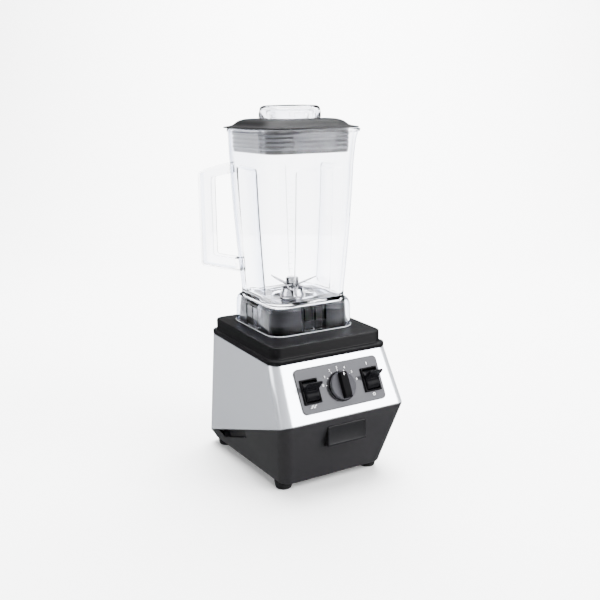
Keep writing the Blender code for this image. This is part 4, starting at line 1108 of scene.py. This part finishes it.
def make_blade(name, z, rise, bend_r, tip_r, angle, curl):
    """A two-armed blade with a ground bevel, as stations from one tip across the shaft to the other."""
    thick, grind = 1.55, 1.5
    rings = []
    stations = [tip_r * share for share in (1.0, 0.97, 0.90, 0.80, 0.70, 0.60, 0.50)]
    stations += [(bend_r + tip_r * 0.5) / 2, bend_r, bend_r * 0.8, bend_r * 0.4]
    for r in [-s for s in stations] + [0.0] + list(reversed(stations)):
        share = max(0.0, abs(r) - bend_r * 0.8) / (tip_r - bend_r * 0.8)
        base = z + rise * (1.25 * share - 0.25 * share ** 2.2 if curl else share)
        half = blade_arm(abs(r) / tip_r)
        thinned = eased_step(abs(r), bend_r * 0.7, bend_r * 1.2)
        flat = half - min(grind, half * 0.6) * thinned - 0.01
        middle, edge = base + 0.5 * thick, thick * (0.5 - 0.42 * thinned)
        rings.append([(r, -half, middle - edge), (r, -flat, base), (r, flat, base), (r, half, middle - edge),
                      (r, half, middle + edge), (r, flat, base + thick), (r, -flat, base + thick),
                      (r, -half, middle + edge)])
    place = ON_AXIS @ Matrix.Rotation(math.radians(angle), 4, "Z")
    blade = shaped(name, skinned(rings, closed=False), place=place, sharp=22)
    cut(blade, lathed([(4.35, z - 3), (4.35, z + 5)], 32, closed=False))
    blade.data.materials.append(blade_steel)
    return blade


for name, z, rise, bend_r, tip_r, angle, curl, stood_for in (
        ("low_blade", 262.3, -5.2, 12.0, 40.0, -30.0, True, "lower_blade"),
        ("mid_blade", 263.9, -0.6, 12.0, 36.0, 62.0, False, "middle_blade"),
        ("high_blade", 265.5, 11.4, 10.0, 34.5, -38.0, False, "upper_blade")):
    blade = make_blade(name, z, rise, bend_r, tip_r, angle, curl)
    stands_for(blade, "blades", "polished_steel", stood_for)
nut_side = ((4.3, 267.2, 0), (7.0, 267.2, 1), (7.4, 267.7, 1), (7.4, 274.9, 1), (6.9, 275.7, 0.6),
            (6.1, 276.6, 0), (4.6, 277.0, 0), (0.8, 277.0, 0), (0.8, 276.0, 0), (4.3, 273.0, 0))
nut = shaped("cap_nut", flatted(nut_side, 6, 0.93, 72), hub_steel, sharp=24)
stands_for(nut, "blades", "polished_steel", "blade_nut")
dressed(blade_steel, "blade_shaft", "jar_coupler")


# ---------------------------------------------------------------- lid
# A soft black lid moulded in one: a thin rim over the jar's mouth, a domed top with a round well, and a
# hollow plug with fine sealing ribs that presses into the jar.

LID_HALF, LID_CORNER, LID_TOP_Z = 77.9, 30.0, 502.2
PLUG_HALF, PLUG_Z, WELL_R = 65.2, 456.4, 34.0


def soft_black(tree):
    """Pattern of the lid: soft black with a satin bloom on top, smoother and glossier down on the plug."""
    place = from_centre(tree)
    top = height_step(tree, 0.486, 0.492)
    fine = noise(tree, place, 1400.0, 3.0)
    slow = noise(tree, place, 18.0, 3.0)
    varied = surface(tree, slow, (0.0030, 0.0030, 0.0034), (0.0042, 0.0042, 0.0047),
                     0.12 + top * 0.33 + slow * 0.06, fine * top, 0.00003)
    return varied | {"Coat Weight": 1.0 - top}


lid_black = finish("lid_black", {"Specular IOR Level": 0.035, "Coat Roughness": 0.09}, soft_black)
lid_rings = [round_ring(WELL_R, LID_TOP_Z - 0.6), round_ring(WELL_R + 0.6, LID_TOP_Z)]
lid_rings += stack(even, (
    (46, 22, LID_TOP_Z), (53, 24, LID_TOP_Z - 0.5), (58, 25.4, LID_TOP_Z - 1.8),
    (61.6, 26.4, LID_TOP_Z - 3.6), (64.2, 27.2, LID_TOP_Z - 5.6), (66.4, 28, 494.4), (69, 28.6, 493.0),
    (72.6, 29.2, 492.0),
    (LID_HALF - 1.4, LID_CORNER, 491.3), (LID_HALF - 0.3, LID_CORNER, 491.0), (LID_HALF, LID_CORNER, 490.4),
    (LID_HALF - 0.2, LID_CORNER, 489.5), (LID_HALF - 0.8, LID_CORNER, 489.2), (PLUG_HALF + 0.2, 20, 489.2),
    (PLUG_HALF - 0.2, 20, 488.6), (PLUG_HALF - 0.6, 20, 484), (PLUG_HALF - 1.0, 19.5, 460),
    (PLUG_HALF - 1.6, 19, PLUG_Z + 0.6), (PLUG_HALF - 2.4, 18.4, PLUG_Z), (PLUG_HALF - 3.6, 17.4, PLUG_Z),
    (PLUG_HALF - 4.2, 17, PLUG_Z + 0.8), (PLUG_HALF - 7.5, 17, LID_TOP_Z - 9)))
lid_rings += stack(round_ring, ((WELL_R + 2.6, LID_TOP_Z - 4), (WELL_R + 2.6, PLUG_Z + 28),
                                (WELL_R, PLUG_Z + 28)))
lid = shaped("soft_lid", skinned(lid_rings), lid_black, sharp=40)
stands_for(lid, "lid", "lid_black", "lid")

rib_tree, wires = geometry_tree("rib_along_line", {"Half": "Float", "Bulge": "Float", "Finish": "Material"})
line = node(rib_tree, "GeometryNodeMeshToCurve", {}, {"Mesh": wires["Geometry"]})
section = node(rib_tree, "GeometryNodeCurvePrimitiveCircle", {}, {"Resolution": 10, "Radius": wires["Half"]})
section_size = node(rib_tree, "ShaderNodeCombineXYZ", {}, {"X": wires["Bulge"], "Y": 1.0, "Z": 1.0})
section = node(rib_tree, "GeometryNodeTransform", {}, {"Geometry": section, "Scale": section_size})
ends_in(rib_tree, node(rib_tree, "GeometryNodeCurveToMesh", {}, {"Curve": line, "Profile Curve": section}),
        wires["Finish"])
# the ribs' pale grey is a painted highlight: the real ribs are black like the plug, and the light lies along
# them in pale bands
rib_rubber = finish("rib_rubber", {"Specular IOR Level": 0.5},
                    moulded((0.075, 0.077, 0.083), (0.100, 0.102, 0.110), 0.18, 900.0, 0.00002))
for i, z in enumerate((481.0, 475.2, 469.4, 463.6)):
    bm = bmesh.new()
    corners = [bm.verts.new(p) for p in even(PLUG_HALF - 0.8 - 0.1 * i, 19.8, z)]
    for a, b in zip(corners, corners[1:] + corners[:1]):
        bm.edges.new((a, b))
    rib = grown("seal_rib_%d" % (i + 1), rib_tree, {"Half": 0.0017, "Bulge": 0.8, "Finish": rib_rubber},
                shaped("rib", bm))
    stands_for(rib, "lid", "lid_black")


# ---------------------------------------------------------------- measuring cap
# A clear moulded cap with a thick domed top, a skirt that rests on the lid and a neck that hangs in the
# lid's well; four pairs of lugs on the skirt give fingers a hold and lock it with a twist.

CAP_R, CAP_NECK_R, CAP_TOP_Z, CAP_NECK_Z = 43.0, 33.3, 520.6, 478.0
cap_low = LID_TOP_Z + 0.5
cap_side = [(0.6, CAP_TOP_Z - 3.4), (CAP_NECK_R - 3.5, CAP_TOP_Z - 3.6), (CAP_NECK_R - 2.6, CAP_TOP_Z - 4.6),
            (CAP_NECK_R - 2.5, CAP_NECK_Z + 0.6), (CAP_NECK_R - 2.1, CAP_NECK_Z),
            (CAP_NECK_R - 0.4, CAP_NECK_Z),
            (CAP_NECK_R, CAP_NECK_Z + 0.6), (CAP_NECK_R, CAP_TOP_Z - 5.4), (34.2, CAP_TOP_Z - 4.2),
            (37.4, CAP_TOP_Z - 4.6), (39.2, 514.6), (CAP_R - 2.5, 512.4), (CAP_R - 2.5, cap_low + 0.3),
            (CAP_R - 2.2, cap_low), (CAP_R - 0.5, cap_low), (CAP_R, cap_low + 0.5), (CAP_R - 0.1, 512.2),
            (CAP_R - 0.6, 513.2), (CAP_R - 0.6, 514.2), (CAP_R - 1.0, 516.0), (CAP_R - 2.0, 517.6),
            (CAP_R - 3.8, 518.9), (CAP_R - 6.5, 519.7), (30.0, 520.2), (15.0, 520.5), (0.6, CAP_TOP_Z)]


def cap_moulding(tree):
    """Pattern of the cap's clear plastic: a paler, slightly hazier grade than the jar's, with a milder
    painted shade where a wall is seen edge on.
    """
    edge = node(tree, "ShaderNodeLayerWeight", {}, {"Blend": 0.35}, out="Facing")
    # the blue-grey where a wall is seen edge on is painted shade
    return surface(tree, edge, (0.96, 0.962, 0.975), (0.62, 0.65, 0.74),
                   0.03 + noise(tree, from_centre(tree), 40.0, 2.0) * 0.02)


cap_plastic = finish("cap_plastic", {"Transmission Weight": 1.0, "IOR": 1.25}, cap_moulding)
cap = shaped("clear_cap", lathed(cap_side, 128), cap_plastic, sharp=50)
stands_for(cap, "cap", "clear_copolyester", "measuring_cap")
CAP_LUG = (4.4, 4.4, 3.6, 3.6, 1.6)
lug_bm = skinned([outline(CAP_LUG, 0.0, 0.0, 6), outline(CAP_LUG, 0.3, 1.0, 6)], closed=False)
lug_bm.transform(Matrix.Rotation(math.radians(90), 4, "X"))
cap_lug = shaped("lug_part", lug_bm, place=METRES)
lugged = bmesh.new()
for i in range(8):
    copy = cap_lug.data.copy()
    bearing = math.radians(-60.4 + 45 * i)
    copy.transform(Matrix.Rotation(bearing + math.pi / 2, 4, "Z") @ Matrix.Translation((0, -0.0428, 0.5068)))
    lugged.from_mesh(copy)
bpy.data.objects.remove(cap_lug, do_unlink=True)
cap_lugs = shaped("cap_lugs", lugged, cap_plastic, Matrix.Translation(AXIS))
stands_for(cap_lugs, "cap", "clear_copolyester")


# ---------------------------------------------------------------- studio
# A pale floor that sweeps up behind the blender, soft lamps all round, and the camera.

def studio_paint(tree):
    """Pattern of matt paper: even, with the slowest drift in its shade."""
    slow = noise(tree, from_centre(tree, (0, 0, 0)), 1.5, 3.0)
    return {"Base Color": blend_colours(tree, slow, [0.856] * 3, [0.864] * 3)}


CAMERA_YAW, CAMERA_PITCH, CAMERA_ROLL = 0.516311537, 0.241123514, -0.0110151
sweep_bm = bmesh.new()
bend = [(-6.0, 0.0), (1.6, 0.0)]
bend += [(1.6 + 1.2 * math.sin(math.radians(a)), 1.2 - 1.2 * math.cos(math.radians(a)))
         for a in range(6, 91, 6)]
bend.append((2.8, 4.0))
edges = [[sweep_bm.verts.new((x, y, z)) for y, z in bend] for x in (-6.0, 6.0)]
for k in range(len(bend) - 1):
    sweep_bm.faces.new((edges[0][k], edges[1][k], edges[1][k + 1], edges[0][k + 1]))
floor_paper = finish("floor_paper", {"Roughness": 0.75}, studio_paint)
floor = shaped("floor", sweep_bm, floor_paper, Matrix.Rotation(-CAMERA_YAW, 4, "Z"))
floor.visible_glossy = False


def softbox(name, spot, target, size, power):
    lamp = bpy.data.lights.new(name, "AREA")
    lamp.shape = "RECTANGLE"
    lamp.size, lamp.size_y = size
    lamp.energy = power
    holder = bpy.data.objects.new(name, lamp)
    holder.location = spot
    holder.rotation_euler = (Vector(target) - Vector(spot)).to_track_quat("-Z", "Y").to_euler()
    bpy.context.scene.collection.objects.link(holder)


softbox("key_front_right", (1.63, -2.3, 2.05), (0, 0, 0.2), (2.3, 2.0), 330)
softbox("fill_left", (-2.2, 0.6, 1.2), (0, 0, 0.25), (1.2, 1.6), 40)
softbox("top", (0.2, 0.2, 2.6), (0, 0, 0), (2.0, 2.0), 430)
softbox("back_wash", (0.9, 1.2, 2.4), (1.6, 2.6, 0.4), (2.0, 1.0), 330)
softbox("low_right", (1.36, -2.0, 0.36), (0.02, -0.045, 0.47), (0.52, 0.46), 30)
softbox("low_left", (-1.08, 2.05, 0.38), (-0.06, 0.02, 0.47), (0.5, 0.42), 1.6)

# the room is dim in reflections, and looks pale past the floor's edge
ROOM_GLOW, ROOM_SEEN = 0.32, 2.0
world = bpy.data.worlds.new("studio")
bpy.context.scene.world = world
world.use_nodes = True
room = world.node_tree.nodes["Background"]
room.inputs["Color"].default_value = (0.96, 0.98, 1.0, 1)
rays = (node(world.node_tree, "ShaderNodeLightPath")
        + node(world.node_tree, "ShaderNodeLightPath", out="Is Transmission Ray"))
strength = rays * (ROOM_SEEN - ROOM_GLOW) + ROOM_GLOW
world.node_tree.links.new(strength.socket, room.inputs["Strength"])

camera = bpy.data.cameras.new("camera")
camera.lens, camera.sensor_width = 47.815, 36.0
camera.clip_start = 0.01
eye = bpy.data.objects.new("camera", camera)
forward = Vector((math.sin(CAMERA_YAW) * math.cos(CAMERA_PITCH),
                  math.cos(CAMERA_YAW) * math.cos(CAMERA_PITCH), -math.sin(CAMERA_PITCH)))
level = Vector((math.cos(CAMERA_YAW), -math.sin(CAMERA_YAW), 0))
upward = level.cross(forward)
right = level * math.cos(CAMERA_ROLL) + upward * math.sin(CAMERA_ROLL)
upright = upward * math.cos(CAMERA_ROLL) - level * math.sin(CAMERA_ROLL)
eye.matrix_world = (Matrix.Translation(AXIS + Vector((-0.5538, -0.9984, 0.5212)))
                    @ Matrix((right, upright, -forward)).transposed().to_4x4())
bpy.context.scene.collection.objects.link(eye)
bpy.context.scene.camera = eye
